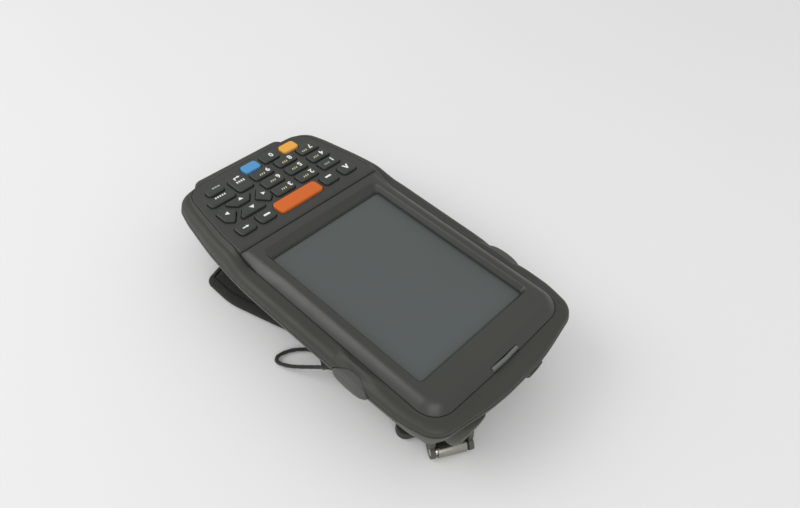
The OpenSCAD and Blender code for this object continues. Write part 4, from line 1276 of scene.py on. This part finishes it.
def clip():
    """Sheet steel hook, rolled round the pin, with a flat tongue that takes the webbing."""
    th = 0.9
    path = [(2.08 * math.cos(q), ANCHOR_Z + 2.08 * math.sin(q)) for q in np.linspace(math.radians(215), math.radians(440), 30)]
    path += [(-0.6, ANCHOR_Z + 1.72), (-2.2, ANCHOR_Z + 1.42), (-4.2, ANCHOR_Z + 1.35), (-6.4, ANCHOR_Z + 1.35)]
    path = np.array(path)
    T = np.gradient(path, axis=0)
    T /= np.linalg.norm(T, axis=1, keepdims=True)
    N = np.column_stack([-T[:, 1], T[:, 0]])
    half = 5.25
    rings = []
    for p, nn in zip(path, N):
        sec = []
        r = 0.28
        for sx, sn in ((1, -1), (1, 1), (-1, 1), (-1, -1)):
            cx, cn = sx * (half - r), sn * (th / 2 - r)
            a0 = {(1, -1): -90, (1, 1): 0, (-1, 1): 90, (-1, -1): 180}[(sx, sn)]
            for j in range(5):
                q = math.radians(a0 + 22.5 * j)
                lx, ln = cx + r * math.cos(q), cn + r * math.sin(q)
                sec.append((lx, p[0] + nn[0] * ln, p[1] + nn[1] * ln))
        rings.append(at_strap(np.array(sec)))
    v, f = loft_data(rings)
    return finish_mesh("strap_clip_plate", v, f, M["hook"], 40)


piece(clip(), "housing", "metal", "strap_clip")


def pin_data(c, axis, L, r):
    return turned(c, axis, [(0, 0.3), (0, r - 0.25), (0.08, r - 0.1), (0.25, r), (L - 0.25, r), (L - 0.08, r - 0.1), (L, r - 0.25), (L, 0.3)], 36)


v, f = merged([moved(pin_data((-7.7, 0, ANCHOR_Z), (1, 0, 0), 15.4, 1.4), at_strap), pin_data((-12, PIN_Y, -21.8), (1, 0, 0), 24, 1.25)])
pins = finish_mesh("strap_pins", v, f, M["steel"], 40)
piece(pins, "housing", "metal", "strap_pin")
v, f = pin_data((31.2, -1.5, -20.5), (0, 1, 0), 7, 0.9)
post = finish_mesh("lanyard_post_pin", v, f, M["steel"], 40)
piece(post, "housing", "metal", "lanyard_post")

# ---------------------------------------------------------------- carried-over CAD nodes
CARRIED = {
    "housing_gasket": "rubber", "touch_panel": "glass", "display_module": "can", "display_gasket": "rubber", "main_board": "board", "keypad_board": "board",
    "dome_switches": "can", "side_switches": "comp", "scan_engine": "comp", "speaker": "comp", "radio_module": "can", "battery_pack": "battery",
    "battery_contacts": "gold", "battery_door": "rear", "battery_latch": "rear", "dock_connector": "comp", "housing_screws": "steel", "board_screws": "steel",
}
for nm, mk in CARRIED.items():
    o = nodes[nm]
    o.data.materials.clear()
    o.data.materials.append(M[mk])
for nm, w in (("battery_door", 0.22), ("battery_latch", 0.18), ("touch_panel", 0.1), ("dock_connector", 0.15), ("battery_pack", 0.4)):
    o = nodes[nm]
    md = o.modifiers.new("weld", "WELD")
    md.merge_threshold = 1e-6
    md = o.modifiers.new("bevel", "BEVEL")
    md.width = w * MM
    md.segments = 3
    md.limit_method = "ANGLE"
    md.angle_limit = math.radians(40)
    md.harden_normals = True

# ---------------------------------------------------------------- floor, light
bpy.ops.mesh.primitive_plane_add(size=12.0, location=(0, 0, -0.0002))
floor = bpy.context.object
floor.name = "floor"
fmat, fnt, fb = new_mat("floor_paper")
fn = noise_tex(fnt, coords(fnt), 3.0, 2.0)
link(fnt, ramp(fnt, fn, [(0.3, (0.80, 0.80, 0.80)), (0.7, (0.82, 0.82, 0.82))]), fb.inputs["Base Color"])
fb.inputs["Roughness"].default_value = 0.6
fb.inputs["Specular IOR Level"].default_value = 0.2
floor.data.materials.append(fmat)

w = bpy.data.worlds.new("studio")
bpy.context.scene.world = w
w.use_nodes = True
bg = w.node_tree.nodes["Background"]
bg.inputs["Color"].default_value = (1.0, 1.0, 1.0, 1)
bg.inputs["Strength"].default_value = 0.72


def area(name, loc, target, size, power, color=(1, 1, 1)):
    d = bpy.data.lights.new(name, "AREA")
    d.shape = "RECTANGLE"
    d.size, d.size_y = size
    d.energy = power
    d.color = color
    o = bpy.data.objects.new(name, d)
    COLL.objects.link(o)
    o.location = loc
    o.rotation_euler = (Vector(target) - Vector(loc)).to_track_quat("-Z", "Y").to_euler()
    return o


area("key_light", (0.64, -0.64, 0.76), (0.04, -0.03, 0), (0.8, 0.8), 4.4)
area("far_light", (0.72, 0.78, 0.9), (0.03, 0.03, 0), (0.9, 0.9), 4.2)
bpy.context.scene.view_settings.view_transform = "Standard"
